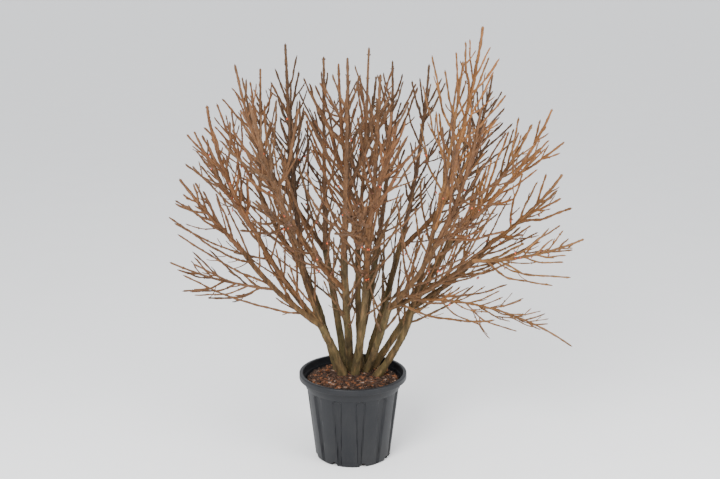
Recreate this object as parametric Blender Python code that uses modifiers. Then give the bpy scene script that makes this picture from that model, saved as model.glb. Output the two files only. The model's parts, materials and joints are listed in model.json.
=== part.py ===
"""Potted burning bush in winter: a bare many-stemmed shrub in a black nursery pot.

Metres, +Z up, +X to the right and +Y away from the viewer. The origin is the
middle of the pot's flat underside. Azimuths are degrees about the pot's axis,
from +X towards +Y, and a reach is a distance from that axis.
"""

import math
import random
from collections import namedtuple

import bmesh
import bpy
import numpy as np
from mathutils import Quaternion, Vector

# Pot
POT_HEIGHT = 0.345
LIP_RADIUS = 0.212
LIP_DEPTH = 0.023
LIP_MOUTH_RADIUS = 0.1975
LIP_ROUNDING = 0.004
COLLAR_RADIUS = 0.189
BAND_HEIGHT = 0.300
BAND_STEP = 0.0045
BODY_TOP = 0.287
BODY_TOP_RADIUS = 0.1825
BASE_RADIUS = 0.1485
BASE_CHAMFER = 0.004
FLUTES = 12
FLUTE_TURN = math.radians(-80)
FLUTE_DEPTH = 0.0075
FLUTE_TOP_WIDTH = 0.046
FLUTE_FOOT_WIDTH = 0.015
FLUTE_FLOOR_SHARE = 0.62
FLUTE_ARCH = 0.014
FLUTE_ARCH_DEPTH = 0.0045
WALL = 0.0035
POT_FLOOR = 0.006
NOTCHES = 8
NOTCH_TURN = math.radians(-74)
NOTCH_WIDTH = 0.026
NOTCH_HEIGHT = 0.016
NOTCH_CUTTER_DEPTH = 0.03
NOTCH_CUTTER_SIDES = 12

# Soil
SOIL_TOP = 0.317
SOIL_DIP = 0.004
SOIL_SLOPE_WIDTH = 0.008
SOIL_SIDE_GAP = 0.002
SOIL_STEPS = 40

SHARP_ANGLE = math.radians(30)
DOUBLED_POINTS = 1e-6

# Clearances
GAP = 0.0003
LIMB_CLEARANCE = 0.002
TWIG_CLEARANCE = 0.001

# Limbs
ROOT_FLARE = 1.35
ROOT_FLARE_HEIGHT = 0.07
LIMB_STEP = 0.075
SWING_STEP = 3.0
SWING_TRIES = 9
FORK_ZONE = 0.10
COLLAR_STEP = 0.004
COLLAR_LIMIT = 0.14
JOINT_TO_BEND = 0.006
LEAST_SPAN = 0.001

Stem = namedtuple("Stem", "name x y azimuth reach height bow thick thin")
STEMS = [
    Stem("left_stem", -0.040, 0.036, 194, 0.125, 0.54, -0.03, 0.0175, 0.0150),
    Stem("front_stem", 0.008, 0.038, 314, 0.08, 0.83, 0.05, 0.0160, 0.0125),
    Stem("low_right_stem", 0.094, 0.018, 0, 0.235, 0.61, 0.07, 0.0150, 0.0130),
    Stem("front_right_stem", 0.052, 0.070, 338, 0.15, 0.62, 0.03, 0.0155, 0.0130),
    Stem("front_left_stem", -0.012, 0.084, 253, 0.11, 0.84, 0.01, 0.0180, 0.0145),
    Stem("left_back_stem", -0.062, 0.084, 146, 0.24, 0.73, -0.02, 0.0150, 0.0125),
    Stem("centre_stem", 0.030, 0.112, 81, 0.12, 0.81, 0.01, 0.0140, 0.0115),
    Stem("back_left_stem", -0.035, 0.131, 113, 0.29, 0.77, -0.02, 0.0170, 0.0140),
    Stem("right_stem", 0.079, 0.115, 11, 0.40, 0.88, 0.02, 0.0155, 0.0120),
    Stem("back_stem", 0.008, 0.156, 72, 0.33, 0.78, 0.02, 0.0160, 0.0130),
    Stem("back_right_stem", 0.052, 0.150, 46, 0.30, 0.87, 0.01, 0.0145, 0.0115),
]

# A limb leaves its parent at a share of the parent's length
Limb = namedtuple("Limb", "name parent along azimuth reach height bow thick thin")
BOUGHS = [
    Limb("left_low_bough", "left_stem", 1.0, 191, 0.42, 0.85, 0.06, 0.0130, 0.0105),
    Limb("left_mid_bough", "left_stem", 1.0, 176, 0.37, 0.89, 0.05, 0.0130, 0.0105),
    Limb("left_up_bough", "left_stem", 0.93, 166, 0.26, 0.93, 0.03, 0.0115, 0.0095),
    Limb("left_back_bough", "left_back_stem", 1.0, 150, 0.43, 1.02, 0.05, 0.0110, 0.0090),
    Limb("back_left_bough", "back_left_stem", 1.0, 124, 0.49, 0.99, 0.05, 0.0120, 0.0095),
    Limb("front_left_bough", "front_left_stem", 0.72, 232, 0.33, 0.98, 0.05, 0.0120, 0.0095),
    Limb("front_bough", "front_stem", 0.80, 281, 0.30, 1.00, 0.05, 0.0115, 0.0095),
    Limb("right_low_bough", "front_right_stem", 1.0, 347, 0.46, 0.82, 0.05, 0.0115, 0.0095),
    Limb("front_right_bough", "front_right_stem", 1.0, 318, 0.41, 0.93, 0.05, 0.0115, 0.0095),
    Limb("right_bough", "low_right_stem", 1.0, 2, 0.53, 0.86, 0.06, 0.0115, 0.0095),
    Limb("right_up_bough", "low_right_stem", 1.0, 358, 0.31, 0.92, 0.00, 0.0115, 0.0100),
    Limb("back_right_bough", "back_right_stem", 0.85, 37, 0.50, 1.00, 0.05, 0.0110, 0.0090),
    Limb("back_bough", "back_stem", 1.0, 92, 0.49, 0.98, 0.05, 0.0115, 0.0095),
]
MASSES = [
    Limb("left_low_mass", "left_low_bough", 1.0, 189, 0.645, 1.13, 0.02, 0.0095, 0.0046),
    Limb("left_skirt_mass", "left_low_bough", 0.55, 178, 0.706, 0.78, 0.06, 0.0065, 0.0042),
    Limb("left_mid_mass", "left_mid_bough", 1.0, 180, 0.543, 1.39, 0.07, 0.0095, 0.0046),
    Limb("left_outer_mass", "left_mid_bough", 1.0, 165, 0.64, 1.27, 0.05, 0.0080, 0.0042),
    Limb("left_up_mass", "left_up_bough", 1.0, 170, 0.45, 1.535, 0.04, 0.0088, 0.0046),
    Limb("left_back_mass", "left_back_bough", 1.0, 150, 0.63, 1.36, 0.05, 0.0080, 0.0042),
    Limb("left_back_up_mass", "left_back_bough", 1.0, 138, 0.50, 1.50, 0.04, 0.0080, 0.0042),
    Limb("back_left_up_mass", "left_back_stem", 1.0, 133, 0.39, 1.60, 0.05, 0.0115, 0.0046),
    Limb("back_left_low_mass", "back_left_bough", 1.0, 131, 0.70, 1.15, 0.05, 0.0080, 0.0042),
    Limb("back_left_mass", "back_left_bough", 1.0, 116, 0.60, 1.42, 0.06, 0.0088, 0.0042),
    Limb("back_left_top_mass", "back_left_stem", 1.0, 109, 0.36, 1.545, 0.03, 0.0125, 0.0046),
    Limb("front_left_mass", "front_left_bough", 1.0, 226, 0.50, 1.44, 0.06, 0.0088, 0.0042),
    Limb("front_left_low_mass", "front_left_bough", 1.0, 240, 0.63, 1.14, 0.05, 0.0080, 0.0042),
    Limb("front_left_up_mass", "front_left_stem", 1.0, 262, 0.12, 1.575, 0.01, 0.0130, 0.0050),
    Limb("centre_mass", "centre_stem", 1.0, 40, 0.08, 1.60, 0.02, 0.0105, 0.0046),
    Limb("centre_back_mass", "centre_stem", 1.0, 106, 0.20, 1.53, 0.04, 0.0095, 0.0046),
    Limb("front_mass", "front_bough", 1.0, 287, 0.46, 1.42, 0.06, 0.0088, 0.0042),
    Limb("front_low_mass", "front_bough", 1.0, 268, 0.60, 1.12, 0.05, 0.0080, 0.0042),
    Limb("front_up_mass", "front_stem", 1.0, 300, 0.20, 1.52, 0.03, 0.0115, 0.0046),
    Limb("right_low_mass", "right_low_bough", 1.0, 357, 0.876, 0.89, 0.07, 0.0080, 0.0042),
    Limb("right_droop_mass", "right_low_bough", 0.22, 350, 0.84, 0.50, -0.12, 0.0052, 0.0030),
    Limb("front_right_mass", "front_right_bough", 1.0, 322, 0.56, 1.42, 0.06, 0.0088, 0.0042),
    Limb("front_right_low_mass", "front_right_bough", 1.0, 312, 0.66, 1.10, 0.05, 0.0070, 0.0042),
    Limb("right_long_mass", "right_stem", 1.0, 12, 0.71, 1.30, 0.06, 0.0095, 0.0042),
    Limb("right_far_mass", "right_stem", 1.0, 358, 0.74, 1.38, 0.09, 0.0100, 0.0046),
    Limb("right_outer_mass", "right_bough", 1.0, 352, 0.78, 1.15, 0.06, 0.0088, 0.0042),
    Limb("right_top_mass", "right_up_bough", 1.0, 1, 0.48, 1.68, 0.03, 0.0095, 0.0050),
    Limb("right_up_mass", "right_up_bough", 1.0, 20, 0.45, 1.54, 0.04, 0.0088, 0.0046),
    Limb("back_right_low_mass", "back_right_bough", 1.0, 38, 0.72, 1.20, 0.05, 0.0080, 0.0042),
    Limb("back_right_far_mass", "back_right_bough", 1.0, 27, 0.62, 1.48, 0.06, 0.0088, 0.0042),
    Limb("back_right_mass", "back_right_stem", 1.0, 52, 0.50, 1.51, 0.06, 0.0105, 0.0046),
    Limb("back_low_mass", "back_bough", 1.0, 92, 0.67, 1.14, 0.05, 0.0080, 0.0042),
    Limb("back_mass", "back_bough", 1.0, 80, 0.55, 1.45, 0.06, 0.0088, 0.0042),
    Limb("back_up_mass", "back_stem", 1.0, 64, 0.36, 1.53, 0.03, 0.0120, 0.0046),
]

# Twigs stand in opposite pairs on a mass's stem, each pair turned from the one below
CROWN_MIDDLE = Vector((0.08, 0.06, 0.98))
CROWN_HALF_SIZE = Vector((0.80, 0.70, 0.76))
OUTLINE_SHARE = 0.97
CROWN_FLOOR = 0.50
CROWN_FOOT = Vector((0.01, 0.08, 0.10))
NODE_SPACING = 0.048
FIRST_NODE = 0.03
LAST_NODE_SHARE = 0.80
PAIR_TURN = 90.0
PAIR_TURN_SPREAD = 35.0
TWIG_ANGLE_FOOT = 40.0
TWIG_ANGLE_TIP = 30.0
TWIG_ANGLE_SPREAD = 10.0
TWIG_LENGTH_FOOT = 0.62
TWIG_LENGTH_TIP = 0.20
TWIG_LENGTH_LEAST = 0.45
VIGOROUS_STEM = 0.0075
TWIG_LIFT = 0.55
TWIG_RADIUS = 0.0042
TWIG_RADIUS_SHARE = 0.62
TWIG_TIP_SHARE = 0.5
TWIG_BEND_SHARE = 0.40
TWIG_ROOT_CLEAR = 0.025
SHRINKS = (1.0, 0.8, 0.6, 0.4, 0.25)

LIMB_RESOLUTION = 1
MASS_STEM_RESOLUTION = 0
MASS_STEM_STEP = 0.11

Finish = namedtuple("Finish", "colour roughness")
POT_PLASTIC = Finish((0.022, 0.025, 0.030), 0.42)
SOIL_BARK = Finish((0.045, 0.022, 0.012), 0.95)
STEM_BARK = Finish((0.165, 0.105, 0.045), 0.85)
BOUGH_BARK = Finish((0.215, 0.115, 0.055), 0.80)
TWIG_BARK = Finish((0.255, 0.120, 0.060), 0.78)


# Scene helpers

def clear_scene():
    for obj in list(bpy.data.objects):
        bpy.data.objects.remove(obj, do_unlink=True)


def new_collection(name):
    collection = bpy.data.collections.new(name)
    bpy.context.scene.collection.children.link(collection)
    return collection


def make_material(name, finish):
    material = bpy.data.materials.new(name)
    material.use_nodes = True
    shader = material.node_tree.nodes["Principled BSDF"]
    shader.inputs["Base Color"].default_value = (*finish.colour, 1.0)
    shader.inputs["Roughness"].default_value = finish.roughness
    shader.inputs["Metallic"].default_value = 0.0
    return material


def add_object(name, data, collection, finish=None):
    obj = bpy.data.objects.new(name, data)
    collection.objects.link(obj)
    if finish:
        data.materials.append(make_material(name, finish))
    return obj


def hide_cutter(obj):
    obj.hide_render = True
    obj.display_type = "WIRE"


def take_evaluated_mesh(obj):
    """The object's mesh with its modifiers applied, doubled points merged."""
    depsgraph = bpy.context.evaluated_depsgraph_get()
    depsgraph.update()
    mesh = bpy.data.meshes.new_from_object(obj.evaluated_get(depsgraph))
    work = bmesh.new()
    work.from_mesh(mesh)
    bmesh.ops.remove_doubles(work, verts=work.verts, dist=DOUBLED_POINTS)
    work.to_mesh(mesh)
    work.free()
    return mesh


def join_collection(obj, collection):
    """Unite the object with every solid of the collection, which is then emptied."""
    if collection.objects:
        union = obj.modifiers.new("union", "BOOLEAN")
        union.operation = "UNION"
        union.operand_type = "COLLECTION"
        union.collection = collection
        union.solver = "MANIFOLD"
        mesh = take_evaluated_mesh(obj)
        obj.modifiers.remove(union)
        mesh.materials.clear()
        mesh.materials.append(obj.data.materials[0])
        obj.data = mesh
    for other in list(collection.objects):
        bpy.data.objects.remove(other, do_unlink=True)


# Pot and soil

def pot_radius(height):
    """Outer radius of the fluted body between its flutes."""
    share = height / BODY_TOP
    return BASE_RADIUS + (BODY_TOP_RADIUS - BASE_RADIUS) * share


def flute_width(height):
    share = min(height / BODY_TOP, 1.0)
    return FLUTE_FOOT_WIDTH + (FLUTE_TOP_WIDTH - FLUTE_FOOT_WIDTH) * share


def pot_section(bm, height, radius, flute_depth):
    """One ring of the pot wall: five points for each flute and its land."""
    ring = []
    pitch = 2 * math.pi / FLUTES
    edge = flute_width(height) / radius / 2
    floor_edge = edge * FLUTE_FLOOR_SHARE
    columns = (
        (-edge, radius),
        (-floor_edge, radius - flute_depth),
        (floor_edge, radius - flute_depth),
        (edge, radius),
        (pitch / 2, radius),
    )
    for flute in range(FLUTES):
        for turn, reach in columns:
            angle = FLUTE_TURN + flute * pitch + turn
            ring.append(bm.verts.new((reach * math.cos(angle), reach * math.sin(angle), height)))
    return ring


def make_pot(collection, cutters):
    lip_foot = POT_HEIGHT - LIP_DEPTH
    arch_foot = BODY_TOP - FLUTE_ARCH
    inner_foot = pot_radius(POT_FLOOR) - FLUTE_DEPTH - WALL
    inner_top = pot_radius(BODY_TOP) - FLUTE_DEPTH - WALL
    sections = [
        (0.0, BASE_RADIUS - BASE_CHAMFER, 0.0),
        (BASE_CHAMFER, pot_radius(BASE_CHAMFER), FLUTE_DEPTH / 2),
        (arch_foot, pot_radius(arch_foot), FLUTE_DEPTH),
        (BODY_TOP - FLUTE_ARCH / 3, pot_radius(BODY_TOP), FLUTE_ARCH_DEPTH),
        (BODY_TOP, BODY_TOP_RADIUS + BAND_STEP, 0.0),
        (BAND_HEIGHT, COLLAR_RADIUS, 0.0),
        (lip_foot, LIP_RADIUS - 2 * LIP_ROUNDING, 0.0),
        (lip_foot + LIP_ROUNDING / 2, LIP_RADIUS, 0.0),
        (POT_HEIGHT - LIP_ROUNDING, LIP_RADIUS, 0.0),
        (POT_HEIGHT, LIP_RADIUS - LIP_ROUNDING, 0.0),
        (POT_HEIGHT, LIP_MOUTH_RADIUS + LIP_ROUNDING, 0.0),
        (POT_HEIGHT - LIP_ROUNDING, LIP_MOUTH_RADIUS, 0.0),
        (BAND_HEIGHT, COLLAR_RADIUS - WALL, 0.0),
        (arch_foot, inner_top, 0.0),
        (POT_FLOOR, inner_foot, 0.0),
    ]
    bm = bmesh.new()
    rings = [pot_section(bm, *section) for section in sections]
    for lower, upper in zip(rings, rings[1:]):
        for a in range(len(lower)):
            b = (a + 1) % len(lower)
            bm.faces.new((lower[a], lower[b], upper[b], upper[a]))
    bm.faces.new(list(reversed(rings[0])))
    bm.faces.new(rings[-1])
    mesh = bpy.data.meshes.new("pot")
    bm.to_mesh(mesh)
    bm.free()
    mesh.set_sharp_from_angle(angle=SHARP_ANGLE)
    pot = add_object("pot", mesh, collection, POT_PLASTIC)
    for index in range(NOTCHES):
        cut = pot.modifiers.new(f"notch_{index}", "BOOLEAN")
        cut.operation = "DIFFERENCE"
        cut.object = make_notch_cutter(index, cutters)
    return pot


def make_notch_cutter(index, cutters):
    """A drainage notch: an arch-topped bar through the foot of the wall."""
    bpy.ops.mesh.primitive_cylinder_add(
        vertices=NOTCH_CUTTER_SIDES,
        radius=NOTCH_WIDTH / 2,
        depth=NOTCH_CUTTER_DEPTH,
    )
    cutter = bpy.context.object
    for collection in list(cutter.users_collection):
        collection.objects.unlink(cutter)
    cutters.objects.link(cutter)
    cutter.name = f"notch_cutter_{index}"
    angle = NOTCH_TURN + index * 2 * math.pi / NOTCHES
    reach = BASE_RADIUS - FLUTE_DEPTH / 2
    cutter.location = (reach * math.cos(angle), reach * math.sin(angle), 0.0)
    cutter.rotation_euler = (math.pi / 2, 0.0, angle + math.pi / 2)
    cutter.scale = (1.0, NOTCH_HEIGHT / (NOTCH_WIDTH / 2), 1.0)
    hide_cutter(cutter)
    return cutter


def make_soil(collection):
    """The potting bark: a turned body that fills the pot, flat where the stems stand."""
    inset = FLUTE_DEPTH + WALL + SOIL_SIDE_GAP
    waist = BODY_TOP - FLUTE_ARCH
    edge = COLLAR_RADIUS - WALL - SOIL_SIDE_GAP
    profile = [
        (0.0, SOIL_TOP),
        (edge - SOIL_SLOPE_WIDTH, SOIL_TOP),
        (edge, SOIL_TOP - SOIL_DIP),
        (edge, BAND_HEIGHT),
        (pot_radius(waist) - inset, waist),
        (pot_radius(POT_FLOOR) - inset, POT_FLOOR + GAP),
        (0.0, POT_FLOOR + GAP),
    ]
    bm = bmesh.new()
    points = [bm.verts.new((reach, 0.0, height)) for reach, height in profile]
    for a, b in zip(points, points[1:]):
        bm.edges.new((a, b))
    mesh = bpy.data.meshes.new("soil")
    bm.to_mesh(mesh)
    bm.free()
    soil = add_object("soil", mesh, collection, SOIL_BARK)
    turn = soil.modifiers.new("turn", "SCREW")
    turn.steps = SOIL_STEPS
    turn.render_steps = SOIL_STEPS
    turn.use_merge_vertices = True
    turn.merge_threshold = DOUBLED_POINTS
    return soil


# Limb paths

def polar(azimuth, reach, height):
    angle = math.radians(azimuth)
    return Vector((reach * math.cos(angle), reach * math.sin(angle), height))


def bowed_path(start, tip, bow, step):
    """Points along a limb that sags below its chord by about three quarters of the bow."""
    chord = tip - start
    level = Vector((chord.x, chord.y, 0.0))
    sag = chord.cross(Vector((0, 0, 1))).cross(chord)
    sag = -sag.normalized() if level.length > LEAST_SPAN else Vector((0, 0, 0))
    reach = bow * chord.length
    first = start + chord / 3 + sag * reach
    second = start + chord * 2 / 3 + sag * reach
    count = max(3, round(chord.length / step) + 1)
    path = []
    for index in range(count):
        t = index / (count - 1)
        s = 1 - t
        path.append(s**3 * start + 3 * s * s * t * first + 3 * s * t * t * second + t**3 * tip)
    return path


def path_lengths(path):
    lengths = [0.0]
    for a, b in zip(path, path[1:]):
        lengths.append(lengths[-1] + (b - a).length)
    return lengths


def point_along(path, distance):
    for a, b in zip(path, path[1:]):
        span = (b - a).length
        if distance <= span:
            return a + (b - a) * (distance / span), (b - a).normalized()
        distance -= span
    return path[-1].copy(), (path[-1] - path[-2]).normalized()


def part_of_path(path, start, end):
    """The path between two distances along it."""
    lengths = path_lengths(path)
    end = min(end, lengths[-1])
    inner = [p for p, at in zip(path, lengths) if start + LEAST_SPAN < at < end - LEAST_SPAN]
    return [point_along(path, start)[0], *inner, point_along(path, end)[0]]


def distances(path, others):
    """Least distance between each of the path's segments and each other segment."""
    a = np.array([tuple(p) for p in path])
    p0, p1 = a[:-1, None, :], a[1:, None, :]
    q0, q1 = others[None, :, 0:3], others[None, :, 3:6]
    d1, d2, r = p1 - p0, q1 - q0, p0 - q0
    aa = (d1 * d1).sum(-1)
    ee = (d2 * d2).sum(-1)
    f = (d2 * r).sum(-1)
    c = (d1 * r).sum(-1)
    b = (d1 * d2).sum(-1)
    denom = np.maximum(aa * ee - b * b, 1e-15)
    s = np.clip((b * f - c * ee) / denom, 0, 1)
    t = np.clip((b * s + f) / ee, 0, 1)
    s = np.clip((b * t - c) / aa, 0, 1)
    gap = (p0 + d1 * s[..., None]) - (q0 + d2 * t[..., None])
    return np.sqrt((gap * gap).sum(-1))


class Wood:
    """Every length of wood placed so far, as segments with a radius and an owner."""

    def __init__(self):
        self.segments = np.zeros((0, 7))
        self.owners = np.zeros(0, dtype=object)

    def add(self, owner, path, radii):
        rows = [[*a, *b, radius] for a, b, radius in zip(path, path[1:], radii)]
        self.segments = np.vstack([self.segments, rows])
        self.owners = np.append(self.owners, [owner] * len(rows))

    def clearance(self, path, radius, only=None, leave_out=()):
        """Least air between the path and what is placed."""
        if only is None:
            keep = ~np.isin(self.owners, list(leave_out))
        else:
            keep = np.isin(self.owners, list(only))
        rows = self.segments[keep]
        if not len(rows):
            return math.inf
        return float((distances(path, rows) - rows[:, 6] - radius).min())

    def nearest_owner(self, point, owners):
        keep = np.isin(self.owners, list(owners))
        rows = self.segments[keep]
        best = distances([point, point + Vector((0, 0, LEAST_SPAN))], rows)[0].argmin()
        return self.owners[keep][best]


class Branch:
    """A limb with its path, its radii and the place where its own solid begins."""

    def __init__(self, row, path, resolution):
        self.row = row
        self.path = path
        self.length = path_lengths(path)[-1]
        self.begins = 0.0
        self.resolution = resolution

    def radius_at(self, distance):
        share = min(distance / self.length, 1.0)
        return self.row.thick + (self.row.thin - self.row.thick) * share

    def radii(self):
        return [self.radius_at(at) for at in path_lengths(self.path)]


def swung_path(row, start, wood, family, step):
    """The limb's path, swung aside in small steps until it clears the wood before it."""
    best = None
    for index in range(SWING_TRIES):
        swing = SWING_STEP * ((index + 1) // 2) * (1 if index % 2 else -1)
        path = bowed_path(start, polar(row.azimuth + swing, row.reach, row.height), row.bow, step)
        whole = path_lengths(path)[-1]
        free = part_of_path(path, min(FORK_ZONE, whole / 2), whole)
        air = min(
            wood.clearance(path, row.thick, leave_out=family),
            wood.clearance(free, row.thick, only=family),
        )
        if air > LIMB_CLEARANCE:
            return path
        if best is None or air > best[0]:
            best = (air, path)
    return best[1]


def plan_limbs():
    """Paths of all stems, boughs and mass stems, and where each one's solid begins."""
    wood = Wood()
    branches = {}
    for row in STEMS:
        foot = Vector((row.x, row.y, SOIL_TOP + GAP))
        path = swung_path(row, foot, wood, (), LIMB_STEP)
        branches[row.name] = Branch(row, path, LIMB_RESOLUTION)
        wood.add(row.name, path, branches[row.name].radii())
    for row in BOUGHS + MASSES:
        is_mass = row in MASSES
        parent = branches[row.parent]
        start = point_along(parent.path, parent.length * row.along)[0]
        step = MASS_STEM_STEP if is_mass else LIMB_STEP
        path = swung_path(row, start, wood, family_of(row), step)
        resolution = MASS_STEM_RESOLUTION if is_mass else LIMB_RESOLUTION
        branches[row.name] = Branch(row, path, resolution)
        wood.add(row.name, path, branches[row.name].radii())
    for row in BOUGHS + MASSES:
        branches[row.name].begins = collar_length(branches[row.name], wood)
    return branches, wood


def family_of(row):
    """A limb's parent, with the other limbs that grow from it."""
    others = {r.name for r in BOUGHS + MASSES if r.parent == row.parent and r is not row}
    return others | {row.parent}


def collar_length(branch, wood):
    """How far out a limb first stands clear of its parent and of its parent's other limbs."""
    family = family_of(branch.row)
    reach = COLLAR_LIMIT
    while reach > COLLAR_STEP:
        piece = part_of_path(branch.path, reach - COLLAR_STEP, reach)
        if wood.clearance(piece, branch.radius_at(reach), only=family) < LIMB_CLEARANCE:
            break
        reach -= COLLAR_STEP
    reach += COLLAR_STEP
    for bend in path_lengths(branch.path):
        if abs(bend - reach) < JOINT_TO_BEND:
            return bend + JOINT_TO_BEND
    return reach


# Limb solids

def tube(name, path, radii, collection, resolution):
    """A tapering round limb as a welded mesh, from a curve with a bevel and filled caps."""
    curve = bpy.data.curves.new(name, "CURVE")
    curve.dimensions = "3D"
    curve.bevel_depth = 1.0
    curve.bevel_resolution = resolution
    curve.use_fill_caps = True
    return curve_to_solid(name, curve, path, radii, collection)


def three_sided_twig(name, path, radii, collection, profile):
    """A thin twig: the same, on a three-cornered section."""
    curve = bpy.data.curves.new(name, "CURVE")
    curve.dimensions = "3D"
    curve.bevel_mode = "OBJECT"
    curve.bevel_object = profile
    curve.use_fill_caps = True
    return curve_to_solid(name, curve, path, radii, collection)


def curve_to_solid(name, curve, path, radii, collection):
    spline = curve.splines.new("POLY")
    spline.points.add(len(path) - 1)
    for point, place, radius in zip(spline.points, path, radii):
        point.co = (*place, 1.0)
        point.radius = radius
    guide = add_object(name, curve, collection)
    mesh = take_evaluated_mesh(guide)
    bpy.data.objects.remove(guide, do_unlink=True)
    return add_object(name, mesh, collection)


def make_twig_profile(cutters):
    curve = bpy.data.curves.new("twig_profile", "CURVE")
    curve.dimensions = "2D"
    curve.fill_mode = "NONE"
    spline = curve.splines.new("POLY")
    spline.points.add(2)
    for index, point in enumerate(spline.points):
        angle = math.radians(90 - 120 * index)
        point.co = (math.cos(angle), math.sin(angle), 0.0, 1.0)
    spline.use_cyclic_u = True
    profile = add_object("twig_profile", curve, cutters)
    hide_cutter(profile)
    return profile


def flared_radius(branch, distance):
    """A stem widens towards the soil over its last few centimetres."""
    share = max(0.0, 1 - distance / ROOT_FLARE_HEIGHT)
    return branch.radius_at(distance) * (1 + (ROOT_FLARE - 1) * share * share)


def collar_pieces(branch, branches, scratch):
    """The short foot of each limb that grows from this one, as far as its own solid."""
    for row in BOUGHS + MASSES:
        if row.parent != branch.row.name:
            continue
        child = branches[row.name]
        path = part_of_path(child.path, 0.0, child.begins - GAP)
        radii = [child.radius_at(at) for at in path_lengths(path)]
        tube(f"{row.name}_collar", path, radii, scratch, child.resolution)


def make_stem(branch, branches, collection, scratch):
    flare = point_along(branch.path, ROOT_FLARE_HEIGHT / 2)[0]
    path = [branch.path[0], flare, *branch.path[1:]]
    radii = [flared_radius(branch, at) for at in path_lengths(path)]
    stem = tube(branch.row.name, path, radii, collection, LIMB_RESOLUTION)
    stem.data.materials.append(make_material(branch.row.name, STEM_BARK))
    cut_foot_level(stem, path[0], flare)
    collar_pieces(branch, branches, scratch)
    join_collection(stem, scratch)


def cut_foot_level(stem, foot, flare):
    """The foot's end cap, square to a leaning stem, is laid level on the soil."""
    for vertex in stem.data.vertices:
        if (vertex.co - foot).length < (vertex.co - flare).length:
            vertex.co.z = foot.z


def make_bough(branch, branches, collection, scratch):
    path = part_of_path(branch.path, branch.begins, branch.length)
    radii = [branch.radius_at(branch.begins + at) for at in path_lengths(path)]
    bough = tube(branch.row.name, path, radii, collection, LIMB_RESOLUTION)
    bough.data.materials.append(make_material(branch.row.name, BOUGH_BARK))
    collar_pieces(branch, branches, scratch)
    join_collection(bough, scratch)


# Twigs

def in_crown(point):
    """Whether a point lies in the dome that the whole crown fills."""
    offset = point - CROWN_MIDDLE
    shares = [offset[axis] / CROWN_HALF_SIZE[axis] for axis in range(3)]
    return sum(share * share for share in shares) < 1 and point.z > CROWN_FLOOR


def twig_path(root, along, turn, angle, length):
    """A twig that leaves its stem at an angle, then bends up and out to the light."""
    side = along.orthogonal().normalized()
    side.rotate(Quaternion(along, turn))
    leaving = along * math.cos(angle) + side * math.sin(angle)
    light = (root - CROWN_FOOT).normalized()
    lifted = (leaving + light * TWIG_LIFT).normalized()
    bend = root + leaving * length * TWIG_BEND_SHARE
    return [root, bend, bend + lifted * length * (1 - TWIG_BEND_SHARE)]


def grow_twigs(branch, wood, leaders):
    """Opposite pairs of twigs along a mass's stem, kept to the space of that stem."""
    name = branch.row.name
    twigs = []
    count = int((branch.length * LAST_NODE_SHARE - branch.begins - FIRST_NODE) / NODE_SPACING) + 1
    vigour = min(1.0, branch.row.thick / VIGOROUS_STEM) ** 2
    turn = random.Random(name).uniform(0, 360)
    for index in range(count):
        at = branch.begins + FIRST_NODE + index * NODE_SPACING
        share = at / branch.length
        root, along = point_along(branch.path, at)
        turn += PAIR_TURN
        for side in (0, 1):
            rng = random.Random(f"{name}:{index}:{side}")
            spread = rng.uniform(-1, 1)
            length = TWIG_LENGTH_FOOT + (TWIG_LENGTH_TIP - TWIG_LENGTH_FOOT) * share
            length *= rng.uniform(TWIG_LENGTH_LEAST, 1.0) * vigour
            angle = TWIG_ANGLE_FOOT + (TWIG_ANGLE_TIP - TWIG_ANGLE_FOOT) * share
            angle += TWIG_ANGLE_SPREAD * rng.uniform(-1, 1)
            aim = turn + 180 * side + PAIR_TURN_SPREAD * spread
            radius = min(TWIG_RADIUS, branch.radius_at(at) * TWIG_RADIUS_SHARE)
            for shrink in SHRINKS:
                path = twig_path(root, along, math.radians(aim), math.radians(angle), length * shrink)
                if twig_fits(path, radius, name, wood, leaders):
                    twigs.append((path, radius))
                    wood.add(f"{name}:{index}:{side}", path, (radius, radius))
                    break
    return twigs


def leader_reaches(branches):
    """How far from the crown's foot each mass's own stem reaches."""
    return {row.name: (branches[row.name].path[-1] - CROWN_FOOT).length for row in MASSES}


def twig_fits(path, radius, mass, wood, leaders):
    if not all(in_crown(point) for point in path[1:]):
        return False
    if (path[-1] - CROWN_FOOT).length > OUTLINE_SHARE * leaders[mass]:
        return False
    if any(wood.nearest_owner(point, leaders.keys()) != mass for point in path[1:]):
        return False
    whole = path_lengths(path)[-1]
    return wood.clearance(part_of_path(path, TWIG_ROOT_CLEAR, whole), radius) > TWIG_CLEARANCE


def make_mass(branch, twigs, collection, scratch, profile):
    path = part_of_path(branch.path, branch.begins, branch.length)
    radii = [branch.radius_at(branch.begins + at) for at in path_lengths(path)]
    mass = tube(branch.row.name, path, radii, collection, MASS_STEM_RESOLUTION)
    mass.data.materials.append(make_material(branch.row.name, TWIG_BARK))
    for index, (path, radius) in enumerate(twigs):
        radii = (radius, radius * (1 + TWIG_TIP_SHARE) / 2, radius * TWIG_TIP_SHARE)
        three_sided_twig(f"twig_{index}", path, radii, scratch, profile)
    join_collection(mass, scratch)


def main():
    clear_scene()
    plant = new_collection("potted_burning_bush")
    cutters = new_collection("cutters")
    scratch = new_collection("joining")
    make_pot(plant, cutters)
    make_soil(plant)
    branches, wood = plan_limbs()
    for row in STEMS:
        make_stem(branches[row.name], branches, plant, scratch)
    for row in BOUGHS:
        make_bough(branches[row.name], branches, plant, scratch)
    profile = make_twig_profile(cutters)
    leaders = leader_reaches(branches)
    for row in MASSES:
        twigs = grow_twigs(branches[row.name], wood, leaders)
        make_mass(branches[row.name], twigs, plant, scratch, profile)
    bpy.data.collections.remove(scratch)


main()
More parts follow.
